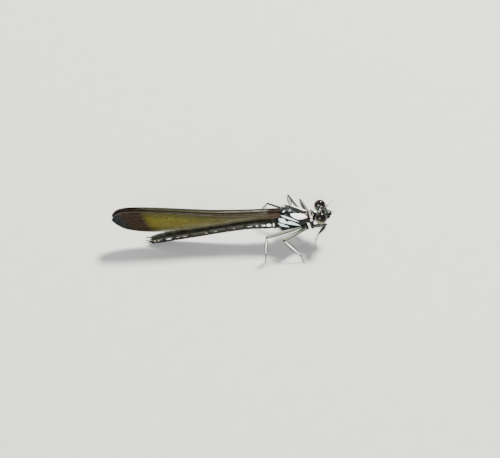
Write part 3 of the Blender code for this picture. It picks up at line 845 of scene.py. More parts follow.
BODY_TINTS = (
    # Near 0 the hue is the pink of painted sheen over pale marks; 0.25 is plain white
    (0.0, (0.9, 0.5, 0.42)),
    (0.25, (0.99, 0.98, 0.99)),
    (0.5, (0.88, 0.99, 0.97)),
    (0.75, (0.74, 0.97, 0.94)),
    (1.0, (0.24, 0.23, 0.15)),
)


def sizes():
    return bpy.context.scene.damselfly_sizes


def finishes():
    return bpy.context.scene.damselfly_colours


def body_shell(name="Thorax shell"):
    c = finishes()
    return shell_material(name, c.shell_dark, c.shell_gloss, BODY_TINTS)


# Thorax

def slant(x, y, z):
    """How high a place is across the slanting stripes of the flank."""
    return z + 0.41 * x - 0.5 * np.abs(y)


def thorax_field(p):
    p = p.copy()
    p[:, 1] = np.abs(p[:, 1])
    x, y, z = p[:, 0], p[:, 1], p[:, 2]
    body = barrel(p, THORAX_X, THORAX_BOTTOM, THORAX_TOP, THORAX_HALF_WIDTH, 2.25, 0.35, 0.2)
    # The waist that the abdomen grows from
    body = joined([body, limb(p, (-1.6, 0, 3.42), (-2.62, 0, 3.34), 0.95, 0.86)], 0.12)
    level = slant(x, y, z)
    flank = step_between(0.25, 0.6, y)
    # Sutures between the plates of the flank
    for at, depth, start, end in (
        (4.47 - 0.1 * x, 0.06, -1.9, 1.7),
        (3.98 - 0.04 * x, 0.05, -2.1, 1.3),
        (3.03 + 0.06 * x, 0.055, -2.3, 1.2),
    ):
        body = body + depth * bump(level, at, 0.05) * flank * step_between(start, start + 0.3, x) * (
            1 - step_between(end - 0.3, end, x)
        )
    # Plates above the coxae
    under = z - 0.45 * x
    body = body + 0.045 * bump(under, 2.98, 0.04) * flank
    low = 1 - step_between(2.8, 3.0, under)
    for edge in (1.3, 0.45):
        body = body + 0.04 * bump(x + 0.35 * (z - 3.2), edge, 0.04) * flank * low
    # The flank bulges a little between its sutures
    for middle in (4.35, 3.5, 2.45):
        body = body - 0.03 * bump(level, middle, 0.24) * flank
    body = body - 0.075 * bump(y, 0, 0.055) * step_between(-1.0, -0.7, x) * step_between(3.6, 4.4, z)
    body = body - 0.05 * bump(level, 5.05 + 0.03 * x, 0.1) * step_between(0.5, 1.4, x) * flank
    # The ridge before the wings
    body = body - 0.09 * bump(x + 0.3 * y, -0.98, 0.07) * (1 - step_between(0.8, 1.05, y)) * (z > 5)
    pits = ball(p, (0.1, 1.42, 3.5), (0.11, 0.1, 0.06))
    body = body + 0.05 * np.exp(-np.clip(pits, 0, None) / 0.03) * (pits < 0.3)
    # The back between the wings
    back = [
        ball(p, (-1.36, 0.0, 5.86), (0.3, 0.26, 0.3)),
        ball(p, (-1.72, 0.0, 5.8), (0.17, 0.2, 0.24)),
        ball(p, (-2.02, 0.0, 5.52), (0.26, 0.2, 0.26)),
        ball(p, (-1.36, 0.56, 5.76), (0.27, 0.16, 0.2)),
        ball(p, (-1.86, 0.42, 5.5), (0.25, 0.15, 0.18)),
        ball(p, (-1.6, 0.72, 5.52), (0.18, 0.14, 0.16)),
    ]
    body = joined([body] + back, 0.07)
    # Prothorax with its three lobes, and the neck
    low = [PROTHORAX_Z - h for h in PROTHORAX_HALF_HEIGHT]
    high = [PROTHORAX_Z + h for h in PROTHORAX_HALF_HEIGHT]
    front = barrel(p, PROTHORAX_X, low, high, PROTHORAX_HALF_WIDTH, 2.1, 0.12, 0.12)
    lobes = [
        ball(p, (2.03, 0.0, 4.98), (0.12, 0.7, 0.2)),
        ball(p, (2.3, 0.36, 4.88), (0.19, 0.34, 0.27)),
        ball(p, (2.32, 0.78, 4.48), (0.2, 0.24, 0.38)),
        ball(p, (2.56, 0.0, 4.85), (0.09, 0.6, 0.2)),
    ]
    front = joined([front] + lobes, 0.06)
    front = front + 0.04 * bump(y, 0, 0.04) * (z > 4.4)
    front = joined([front, limb(p, (1.4, 0, 4.25), (3.3, 0, 4.42), 0.6, 0.4)], 0.08)
    # What joins the two thoraxes inside their rims
    body = joined([body, limb(p, (1.2, 0, 4.15), (2.25, 0, 4.2), 0.86, 0.86)], 0.08)
    whole = joined([body, front], 0.06)
    # Coxae with the short rings at the root of each thigh
    for root, hip in HIPS.values():
        root, hip = np.array(root), np.array(hip)
        line = (hip - root) / np.linalg.norm(hip - root)
        coxa = limb(p, root, hip - line * 0.12, 0.33, 0.29)
        ring = ball(p, hip + line * 0.1, (0.25, 0.25, 0.23))
        whole = joined([whole, joined([coxa, ring], 0.05)], 0.09)
    return whole


def add_spots(points, spots, pale, tint):
    """Adds round marks on both sides, each with its hue, its centre and its radii."""
    x, y, z = points.T
    places = np.stack((x, np.abs(y), z), 1)
    for hue, centre, radii in spots:
        radii = np.broadcast_to(radii, 3)
        inside = (1 - np.linalg.norm((places - centre) / radii, axis=1)) * radii.min()
        tint = np.where(inside > pale, hue, tint)
        pale = np.maximum(pale, inside)
    return pale, tint


def thorax_marks(points):
    """Distance inside the pale marks, and where each is on the scale of hues."""
    x, y, z = points.T
    v = slant(x, y, z)
    bands = [
        (0.25, [(-0.72, 4.98), (-0.6, 5.1), (-0.04, 5.3), (0.5, 5.37), (0.95, 5.39), (1.45, 5.4),
                (1.74, 5.2), (1.6, 4.95), (1.21, 4.78), (0.75, 4.56), (0.35, 4.44), (0.02, 4.49),
                (-0.45, 4.66), (-0.68, 4.82)]),
        (0.45, [(-2.12, 4.2), (-1.65, 4.4), (-0.82, 4.44), (-0.07, 4.3), (0.3, 4.18), (0.6, 4.05),
                (0.1, 4.05), (-0.33, 4.09), (-1.0, 4.12), (-1.83, 4.13)]),
        (0.62, [(-2.4, 2.95), (-2.35, 3.4), (-2.02, 3.8), (-1.67, 3.9), (-1.47, 3.8), (-1.34, 3.6),
                (-1.16, 3.58), (-0.98, 3.82), (-0.5, 3.86), (0.07, 3.74), (0.44, 3.56), (0.8, 3.38),
                (0.3, 3.33), (-0.24, 3.3), (-1.33, 3.2), (-2.0, 2.98)]),
        (0.7, [(-2.4, 2.4), (-2.36, 2.66), (-1.77, 2.86), (-1.07, 2.84), (-0.8, 2.7), (-1.21, 2.56),
               (-2.05, 2.36)]),
    ]
    pale = np.full(len(x), -1.0)
    tint = np.full(len(x), 0.25)
    for hue, corners in bands:
        inside = outline_distance(x, v, corners)
        inside = np.where(np.abs(y) > 0.2, inside, -1)
        tint = np.where(inside > pale, hue, tint)
        pale = np.maximum(pale, inside)
    # Pink edge of the first band and of the spots near it: the mark itself is pale, and its pink is painted
    # sheen
    tint = np.where((tint < 0.3) & (x > 0.9), 0.25 - 0.2 * step_between(1.0, 1.7, x), tint)
    # Pale spots; those with low hues carry the pink of painted sheen
    spots = [
        (1.0, (2.08, 0.2, 5.15), 0.15), (1.0, (2.1, 0.52, 5.05), 0.14), (1.0, (2.54, 0.4, 5.0), 0.15),
        (0.05, (2.28, 0.72, 4.86), 0.2), (0.15, (2.3, 1.0, 4.5), 0.2),
        (0.08, (0.8, 0.46, 5.3), 0.13), (0.08, (1.2, 0.42, 5.1), 0.14),
        (0.8, (-1.66, 0.52, 5.84), 0.13), (0.8, (-1.5, 0.42, 5.96), 0.1), (0.05, (-2.3, 0.85, 4.95), 0.12),
    ]
    return add_spots(points, spots, pale, tint)


class DAMSELFLY_OT_thorax(bpy.types.Operator):
    """Builds the skin of the thorax, the prothorax, the neck and the coxae"""

    bl_idname = "damselfly.thorax"
    bl_label = "Thorax"

    def execute(self, context):
        step = sizes().skin_step * 1000
        points, faces = skin(thorax_field, (-2.6, -2.0, 1.2), (3.8, 2.0, 6.5), step)
        pale, tint = thorax_marks(points)
        piece = mesh_piece("thorax_skin", points, faces, [body_shell()], {"pale": pale, "tint": tint})
        finish_piece(piece, ["prothorax", "synthorax"])
        return {"FINISHED"}


# Head

def head_field(p):
    p = p.copy()
    p[:, 1] = np.abs(p[:, 1])
    x, y, z = p[:, 0], p[:, 1], p[:, 2]
    parts = [
        ball(p, (3.44, 0, 5.03), (0.6, 1.4, 0.86)),
        ball(p, (3.62, 0, 5.22), (0.7, 0.7, 0.6)),
        ball(p, (4.2, 0, 5.06), (0.53, 0.84, 0.53)),
        ball(p, (3.98, 0, 4.0), (0.68, 0.54, 0.29)),
        ball(p, (3.7, 0, 4.4), (0.53, 0.8, 0.54)),
        ball(p, (4.2, 0.55, 4.24), (0.42, 0.29, 0.35)),
    ]
    head = joined(parts, 0.16)
    snout = ball(p, (4.72, 0, 4.84), (0.57, 0.54, 0.37))
    snout = snout + 0.02 * bump(y, 0, 0.05) * (z > 4.9)
    lip = [ball(p, (4.62, 0, 4.32), (0.49, 0.56, 0.25)), ball(p, (4.25, 0, 4.55), (0.6, 0.64, 0.48))]
    head = joined([head, joined(lip, 0.12)], 0.07)
    head = joined([head, snout], 0.05)
    # The rim that holds each eye
    cup = cut_by(ball(p, LENS_PLACE, (0.87, 0.84, 0.95)), y - 0.8, 0.06)
    head = joined([head, cup], 0.06)
    head = cut_by(head, HEAD_REAR_X - x, 0.16)
    # Sutures: brow, nose and lip, and the mouth
    head = head + 0.05 * bump(x - 0.25 * (z - 5), 4.5, 0.035) * step_between(5.0, 5.15, z)
    head = head + 0.045 * bump(z - 0.1 * x, 4.09, 0.03) * step_between(4.6, 4.75, x)
    head = head + 0.1 * bump(z, 4.1, 0.035) * step_between(4.3, 4.5, x)
    head = head + 0.04 * bump(y, 0, 0.03) * (z > 5.3) * (x < 4.0)
    head = head + 0.04 * bump(y, 0.33, 0.03) * (z < 4.05) * (x > 4.1)
    socket = ball(p, ANTENNA_ROOT, (0.17, 0.17, 0.17))
    head = joined([head, socket], 0.05)
    head = head + 0.04 * bump(socket, 0.05, 0.03)
    for centre in ((3.82, 0.3, 5.72), (4.15, 0.0, 5.54)):
        head = joined([head, ball(p, centre, (0.15, 0.15, 0.13))], 0.06)
    # Swellings behind the eyes' tops
    head = joined([head, ball(p, (3.3, 0.62, 5.62), (0.14, 0.3, 0.17))], 0.1)
    return head


def head_marks(points):
    """Distance inside the pale spots of the head, and where each is on the scale of hues."""
    spots = [
        (1.0, (3.36, 0.62, 5.75), (0.1, 0.15, 0.12)),
        (1.0, (3.66, 0.52, 5.72), (0.07, 0.07, 0.09)),
        (1.0, (4.28, 0.42, 5.42), (0.07, 0.1, 0.1)),
        (1.0, (4.0, 0.74, 4.5), (0.15, 0.14, 0.2)),
        (1.0, (4.24, 0.84, 4.2), (0.18, 0.12, 0.1)),
        (0.95, (4.95, 0.3, 4.36), (0.1, 0.1, 0.07)),
    ]
    return add_spots(points, spots, np.full(len(points), -1.0), np.full(len(points), 1.0))


class DAMSELFLY_OT_head(bpy.types.Operator):
    """Builds the skin of the head with its snout, lips and jaws"""

    bl_idname = "damselfly.head"
    bl_label = "Head"

    def execute(self, context):
        step = sizes().skin_step * 800
        points, faces = skin(head_field, (2.9, -1.6, 3.6), (5.5, 1.6, 6.2), step)
        pale, tint = head_marks(points)
        shell = body_shell("Head shell")
        piece = mesh_piece("head_skin", points, faces, [shell], {"pale": pale, "tint": tint})
        finish_piece(piece, ["head"])
        # The three small eyes on the brow, each a low dome
        turn = math.pi * np.arange(11, 0, -1)[:, None] / 12
        around = math.pi * np.arange(24)[None] / 12
        dome = np.cos(around) * np.sin(turn), np.sin(around) * np.sin(turn), 0.85 * np.cos(turn) + 0 * around
        dome = np.stack(dome, -1)
        brow = (((3.82, 0.3, 5.8), 0.12), ((3.82, -0.3, 5.8), 0.12), ((4.15, 0, 5.62), 0.11))
        points, faces = merged([closed_loft(np.array(centre) + radius * dome) for centre, radius in brow])
        glass = dark_material("Ocellus", (0.03, 0.012, 0.006), (0.09, 0.04, 0.015), 9.0, 0.14, 0.8, 0.000002)
        finish_piece(mesh_piece("ocelli", points, faces, [glass]))
        return {"FINISHED"}


class DAMSELFLY_OT_eyes(bpy.types.Operator):
    """Builds the two compound eyes with their facets"""

    bl_idname = "damselfly.eyes"
    bl_label = "Eyes"

    def execute(self, context):
        s = sizes()
        tree = facet_tree()
        for name, side in (("left", 1), ("right", -1)):
            carrier = add_points(f"eye_{name}_facets", [(0, 0, 0)], {})
            values = {
                "Radii": LENS_RADII,
                "Fineness": s.facet_fineness,
                "Rise": s.facet_rise * 1000,
                "Material": eye_material(finishes()),
            }
            piece = grown(carrier, tree, values, smooth=False)
            place = Vector((LENS_PLACE[0], side * LENS_PLACE[1], LENS_PLACE[2])) * 0.001
            piece.data.transform(Matrix.Translation(place))
            finish_piece(piece, [f"eye_{name}"])
        return {"FINISHED"}


class DAMSELFLY_OT_feelers(bpy.types.Operator):
    """Builds the two short feelers"""

    bl_idname = "damselfly.feelers"
    bl_label = "Feelers"

    def execute(self, context):
        horn = dark_material("Feeler", (0.01, 0.009, 0.008), (0.035, 0.03, 0.022), 12.0, 0.35)
        for name, side in (("left", 1), ("right", -1)):
            root = np.array((ANTENNA_ROOT[0], ANTENNA_ROOT[1] * side, ANTENNA_ROOT[2]))
            line = np.array((ANTENNA_LINE[0], ANTENNA_LINE[1] * side, ANTENNA_LINE[2]))
            line /= np.linalg.norm(line)
            at = np.array((0, 0.12, 0.2, 0.24, 0.26, 0.34, 0.5, 0.62, 0.66, 0.68, 0.8, 1.1, 1.4, 1.62, 1.7))
            radius = (0.12, 0.13, 0.125, 0.1, 0.075, 0.088, 0.082, 0.078, 0.055, 0.036, 0.034, 0.027,
                      0.02, 0.013, 0.006)
            path = root + line * at[:, None] + np.array((0, 0, 0.035)) * (at**2)[:, None]
            path = path + np.array((0.0, 0.05 * side, 0.0)) * (np.clip(at - 0.68, 0, None) ** 2)[:, None]
            fine = np.linspace(0, 1, 60)
            where = np.linspace(0, 1, len(at))
            path = np.stack([np.interp(fine, where, path[:, i]) for i in range(3)], 1)
            radius = np.interp(fine, where, radius)
            rings = swept(path, radius, radius, (0, 0, 1), 14)[0]
            points, faces = closed_loft(rings)
            finish_piece(mesh_piece(f"feeler_{name}", points, faces, [horn]), [f"antenna_{name}"])
        return {"FINISHED"}


# Abdomen

def abdomen_line(share):
    share = np.asarray(share, float)
    start, end = ABDOMEN_X
    height = curve(ABDOMEN_LINE_SHARES, ABDOMEN_LINE_Z)(share)
    return np.stack((start + (end - start) * share, np.zeros_like(share), height), -1)


class DAMSELFLY_OT_abdomen(bpy.types.Operator):
    """Builds the ten rings of the abdomen as one skin, and the claspers at its end"""

    bl_idname = "damselfly.abdomen"
    bl_label = "Abdomen"

    def execute(self, context):
        joints = np.concatenate(([0], np.cumsum(SEGMENT_SHARES)))
        joints = joints / joints[-1]
        stations = [np.linspace(-0.03, 0, 8, endpoint=False)]
        for a, b in zip(joints, joints[1:]):
            local = np.linspace(0, 1, max(14, int((b - a) * 420)))
            local = local - 0.12 * np.sin(2 * math.pi * local) / (2 * math.pi) * 2
            stations.append(a + (b - a) * local[:-1])
        at = np.append(np.concatenate(stations), 1.0)
        number = np.clip(np.searchsorted(joints, at, side="right") - 1, 0, 9)
        local = np.clip((at - joints[number]) / (joints[number + 1] - joints[number]), 0, 1)
        length = (joints[number + 1] - joints[number]) * ABDOMEN_LENGTH
        mm = local * length
        left = (1 - local) * length
        # Each ring starts narrow under the rim of the one before and widens to its own rim
        swell = 0.93 + 0.03 * step_between(0, 0.3, mm) + 0.035 * step_between(0.45, 0.02, left)
        swell = swell - 0.1 * np.exp(-mm / 0.05) - 0.035 * bump(left, 0.13, 0.035)
        swell = np.where(at < 0, 0.8, swell)
        centre = abdomen_line(at)
        along = abdomen_line(at + 0.01) - abdomen_line(at - 0.01)
        along /= np.linalg.norm(along, axis=1, keepdims=True)
        across = np.array((0.0, 1.0, 0.0))
        up = np.cross(along, across)
        up *= np.sign(up[:, 2:3])
        width = curve(ABDOMEN_SHARES, ABDOMEN_HALF_WIDTH)(at) * swell
        height = curve(ABDOMEN_SHARES, ABDOMEN_HALF_HEIGHT)(at) * swell
        sides = 72
        turn = np.arange(sides) * 2 * math.pi / sides
        c, s = np.cos(turn)[None], np.sin(turn)[None]
        # Ridge along the back, folds where the back plates end, and the keeled belly plates
        fold = np.minimum(np.abs(turn - 1.24 * math.pi), np.abs(turn - 1.76 * math.pi))
        relief = 0.02 * bump(turn, math.pi / 2, 0.09) - 0.055 * bump(fold, 0, 0.11)
        relief = relief - 0.06 * bump(turn, 1.5 * math.pi, 0.5)
        relief = relief[None] * np.where(at < 0, 0, 1)[:, None]
        # The lump under the second ring
        lump = bump(at, joints[1] + 0.6 * (joints[2] - joints[1]), 0.018)
        relief = relief + 0.16 * lump[:, None] * bump(turn, 1.5 * math.pi, 0.45)[None]
        rings = (
            centre[:, None]
            + across[None, None] * (c * (width[:, None] + relief))[..., None]
            + up[:, None] * (s * (height[:, None] + relief))[..., None]
        )
        points, faces = closed_loft(rings[::-1])
        station = np.repeat(np.arange(len(at))[::-1], sides)
        angle = np.tile(turn, len(at))
        pale, tint = self.marks(number[station], mm[station], angle)
        points, faces = merged([(points, faces)] + self.claspers())
        # The middle points of the two ends and the claspers are dark
        rest = len(points) - len(pale)
        pale = np.append(pale, np.full(rest, -1.0))
        tint = np.append(tint, np.full(rest, 0.5))
        points[:, 2] = np.maximum(points[:, 2], -BODY_PLACE[2] + 0.004)
        c = finishes()
        shell = shell_material(
            "Abdomen shell", c.abdomen_dark, c.abdomen_gloss, BODY_TINTS, 12.0, 0.34, 0.08
        )
        piece = mesh_piece("abdomen_skin", points, faces, [shell], {"pale": pale, "tint": tint})
        finish_piece(piece, [f"abdomen_{k}" for k in range(1, 11)])
        return {"FINISHED"}

    def marks(self, number, mm, angle):
        """Pale spots on the sides of the rings, smaller towards the tail."""
        side = np.minimum(np.abs(angle - 0.1 * math.pi), np.abs(angle - 0.9 * math.pi))
        pale = np.full(len(angle), -1.0)
        for ring, start, end, spread in (
            (0, 0.44, 0.68, 0.36), (1, 0.1, 0.86, 0.27), (1, 0.95, 1.4, 0.15), (2, -0.1, 0.24, 0.15),
            (2, 0.62, 1.0, 0.17), (2, 1.4, 2.3, 0.08), (3, 1.4, 1.9, 0.07), (4, 1.4, 1.9, 0.08),
            (5, 0.1, 0.5, 0.11), (6, 0.4, 1.2, 0.08), (6, 1.6, 2.0, 0.1), (7, 0.5, 1.25, 0.15),
            (8, 0.6, 1.0, 0.12), (9, 0.08, 0.28, 0.3),
        ):
            middle, half = (start + end) / 2, (end - start) / 2
            away = np.hypot((mm - middle) / half, side / spread)
            pale = np.where(number == ring, np.maximum(pale, (1 - away) * 0.16), pale)
        tint = np.where(number < 2, 0.35, np.where(number == 7, 0.85, np.where(number < 3, 0.9, 1.0)))
        return pale, tint

    def claspers(self):
        made = []
        root = abdomen_line(1.0) + np.array((0.25, 0, 0))
        for side in (1, -1):
            for offset, reach, rise, girth in (
                ((0, 0.27, 0.12), 1.1, 0.08, 0.11),
                ((0, 0.2, -0.17), 0.62, 0.05, 0.1),
            ):
                start = root + np.array(offset) * (1, side, 1)
                t = np.linspace(0, 1, 26)
                bow = side * (0.1 * np.sin(math.pi * t) - 0.08 * t**3)
                path = start + np.stack((-reach * t, bow, rise * t), 1)
                radius = girth * (1 - 0.35 * t) * (1 + 0.3 * bump(t, 0.8, 0.12))
                radius = radius * np.sqrt(np.clip(1.02 - t**6, 0, 1))
                made.append(closed_loft(swept(path, radius, radius * 0.85, (0, 0, 1), 16)[0]))
        return made


# Wings

def wing_edges(share, drop):
    lead = curve(WING_SHARES, LEADING_EDGE)(share) - drop - 0.03
    trail = curve(WING_SHARES, TRAILING_EDGE)(share) - drop
    return lead, trail


class WingShape:
    """Where a share of the span and of the chord lies on one wing."""

    def __init__(self, side, fore):
        self.side = side
        self.socket_x = -2.75 if fore else -3.05
        self.root_x = -1.95 if fore else -2.2
        self.tip_x = -26.04 if fore else -25.35
        self.drop = 0.0 if fore else 0.15
        gap = (0.62, 0.6, 0.57, 0.52, 0.46, 0.42) if fore else (0.24, 0.22, 0.19, 0.17, 0.15, 0.13)
        self.gap = curve((0.0, 0.2, 0.45, 0.65, 0.85, 1.0), gap)

    def pleat(self, span, chord):
        """The folds that the main veins make, deepest along the leading edge."""
        depth = 0.05 * np.exp(-chord * 2.2) * (1 - 0.75 * span) + 0.01
        fold = np.cos(math.pi * np.sqrt(np.clip(chord, 0, 1)) * 9)
        return depth * fold

    def at(self, span, chord):
        span, chord = np.asarray(span, float), np.asarray(chord, float)
        x = self.root_x + (self.tip_x - self.root_x) * span
        lead, trail = wing_edges((x - self.socket_x) / (self.tip_x - self.socket_x), self.drop)
        # The blade narrows to its hinge in the thorax
        trail = trail + (lead - 0.42 - trail) * step_between(self.socket_x - 0.5, self.root_x, x)
        z = lead + (trail - lead) * chord
        # A slight belly, so that the blade isn't flat
        belly = 0.05 * np.sin(math.pi * np.clip(span, 0, 1)) * np.sin(math.pi * np.clip(chord, 0, 1))
        y = self.gap(span) + self.pleat(span, chord) + belly
        return np.stack((x, y * self.side, z), -1)


def tip_share(share):
    """Spaces shares closer together towards the tip, so that its outline is round."""
    return np.sin(math.pi / 2 * share)


def long_veins():
    """The veins that run along a wing: radius, chord share at each share of the span, and both ends."""
    veins = [
        (0.042, lambda t: np.zeros_like(t), 0.0, 0.999),
        (0.03, lambda t: 0.075 - 0.02 * t, 0.0, 0.4),
        (0.036, lambda t: 0.16 - 0.08 * t**0.7, 0.0, 0.985),
        (0.024, lambda t: 0.2 + 0.02 * t - 0.06 * t**3, 0.2, 0.97),
        (0.022, lambda t: 0.24 + 0.1 * t - 0.1 * t**3, 0.22, 0.975),
        (0.022, lambda t: 0.3 + 0.16 * t - 0.08 * t**3, 0.14, 0.98),
        (0.026, lambda t: 0.36 + 0.2 * t, 0.03, 0.985),
        (0.02, lambda t: 0.45 + 0.22 * t, 0.3, 0.98),
        (0.026, lambda t: 0.5 + 0.3 * t, 0.02, 0.96),
        (0.024, lambda t: 0.66 + 0.34 * t**0.8, 0.02, 0.86),
        (0.02, lambda t: 0.82 + 0.24 * t**0.8, 0.02, 0.6),
        (0.026, lambda t: np.ones_like(t), 0.0, 0.999),
    ]
    for k in range(7):
        between = lambda t, k=k: 0.27 + 0.1 * k + 0.05 * (t - 0.4)
        veins.append((0.015, between, 0.36 + 0.05 * k, 0.975 - 0.006 * k))
    return veins


def vein_carrier(name, wing, seed):
    random = np.random.default_rng(seed)
    points, edges, thickness = [], [], []

    def add(line, radius):
        first = len(points)
        points.extend(line.tolist())
        thickness.extend(np.broadcast_to(radius, len(line)).tolist())
        edges.extend((first + k, first + k + 1) for k in range(len(line) - 1))

    veins = long_veins()
    for radius, place, start, end in veins:
        shares = tip_share(np.linspace(0, 1, 110))
        shares = shares[(shares >= start) & (shares <= end)]
        chord = np.clip(place(shares), 0, 1)
        keep = (chord < 1) | (place(shares) == 1)
        shares, chord = shares[keep], chord[keep]
        if len(shares) > 3:
            add(wing.at(shares, chord), radius * (1 - 0.5 * shares))
    # Crossveins between neighbouring long veins, a cell apart
    ladder = sorted(veins, key=lambda v: float(v[1](np.array([0.6]))[0]))
    span = 0.05
    while span < 0.985:
        here = [(float(np.clip(v[1](np.array([span]))[0], 0, 1)), v) for v in ladder if v[2] <= span <= v[3]]
        here = sorted(here, key=lambda h: h[0])
        for (a, _), (b, _) in zip(here, here[1:]):
            if b - a < 0.01 or b - a > 0.45 or random.random() < 0.12:
                continue
            shift = random.uniform(-0.35, 0.35) * 0.014
            t = np.linspace(0, 1, 4)
            along = np.clip(span + shift + (random.uniform(-0.002, 0.003)) * t, 0, 0.992)
            add(wing.at(along, a + (b - a) * t), 0.0135)
        span += 0.0145
    # The thick bar at the nodus
    node = np.linspace(0, 0.2, 5)
    add(wing.at(np.full(5, 0.385), node), 0.022)
    return add_points(name, points, {"thickness": thickness}, edges)


def membrane(wing, half):
    """A closed thin sheet over a wing, thicker at its pterostigma: points, faces and shares."""
    span = tip_share(np.linspace(0, 1, 170)) * 0.9995
    chord = np.linspace(0, 1, 61) ** 1.15
    t, c = np.meshgrid(span, chord, indexing="ij")
    sheet = wing.at(t, c)
    shift = np.zeros_like(sheet)
    shift[..., 1] = half + 0.012 * ((t > STIGMA[0]) & (t < STIGMA[1]) & (c > 0.015) & (c < 0.085))
    index = np.arange(t.size).reshape(t.shape)
    quad = np.stack((index[:-1, :-1], index[1:, :-1], index[1:, 1:], index[:-1, 1:]), -1).reshape(-1, 4)
    rim = np.concatenate((index[:, 0], index[-1, 1:], index[::-1, -1][1:], index[0, ::-1][1:-1]))
    following = np.roll(rim, -1)
    edge = np.stack((rim, rim + t.size, following + t.size, following), -1)
    faces = np.concatenate((quad, quad[:, ::-1] + t.size, edge))
    points = np.concatenate(((sheet + shift).reshape(-1, 3), (sheet - shift).reshape(-1, 3)))
    if not facing_out(points, faces):
        faces = faces[:, ::-1]
    return points, faces, {"span": np.tile(t.ravel(), 2), "chord": np.tile(c.ravel(), 2)}


class DAMSELFLY_OT_wings(bpy.types.Operator):
    """Builds the four closed wings, each a thin pleated membrane with its net of veins"""

    bl_idname = "damselfly.wings"
    bl_label = "Wings"

    def execute(self, context):
        s = sizes()
        tree = vein_tree()
        film = membrane_material(finishes())
        vein = dark_material("Wing vein", (0.012, 0.008, 0.005), (0.05, 0.032, 0.014), 4.0, 0.32, 0.3)
        for pair_number, (pair, fore) in enumerate((("fore", True), ("hind", False))):
            for side_name, side in (("left", 1), ("right", -1)):
                name = f"wing_{pair}_{side_name}"
                wing = WingShape(side, fore)
                points, faces, shares = membrane(wing, s.membrane_thickness * 500)
                finish_piece(mesh_piece(f"{name}_membrane", points, faces, [film], shares), [name])
                carrier = vein_carrier(f"{name}_veins", wing, VEIN_SEED + pair_number)
                values = {"Thickness": s.vein_thickness, "Sides": 6, "Material": vein}
                finish_piece(grown(carrier, tree, values))
        return {"FINISHED"}


def facing_out(points, faces):
    """Whether the faces of a closed skin point outwards."""
    total = 0.0
    centre = points.mean(0)
    for k in range(1, faces.shape[1] - 1):
        a, b, c = (points[faces[:, i]] - centre for i in (0, k, k + 1))
        total += (a * np.cross(b, c)).sum()
    return total > 0


# Legs

def leg_corners(leg):
    """The side of a leg, and its hip, knee, ankle and toe."""
    pair, side_name = leg.split("_")
    side = 1 if side_name == "left" else -1

    def placed(place):
        return np.array((place[0], place[1] * side, place[2]))

    return side, *(placed(p) for p in (HIPS[pair][1], *LEG_JOINTS[leg]))


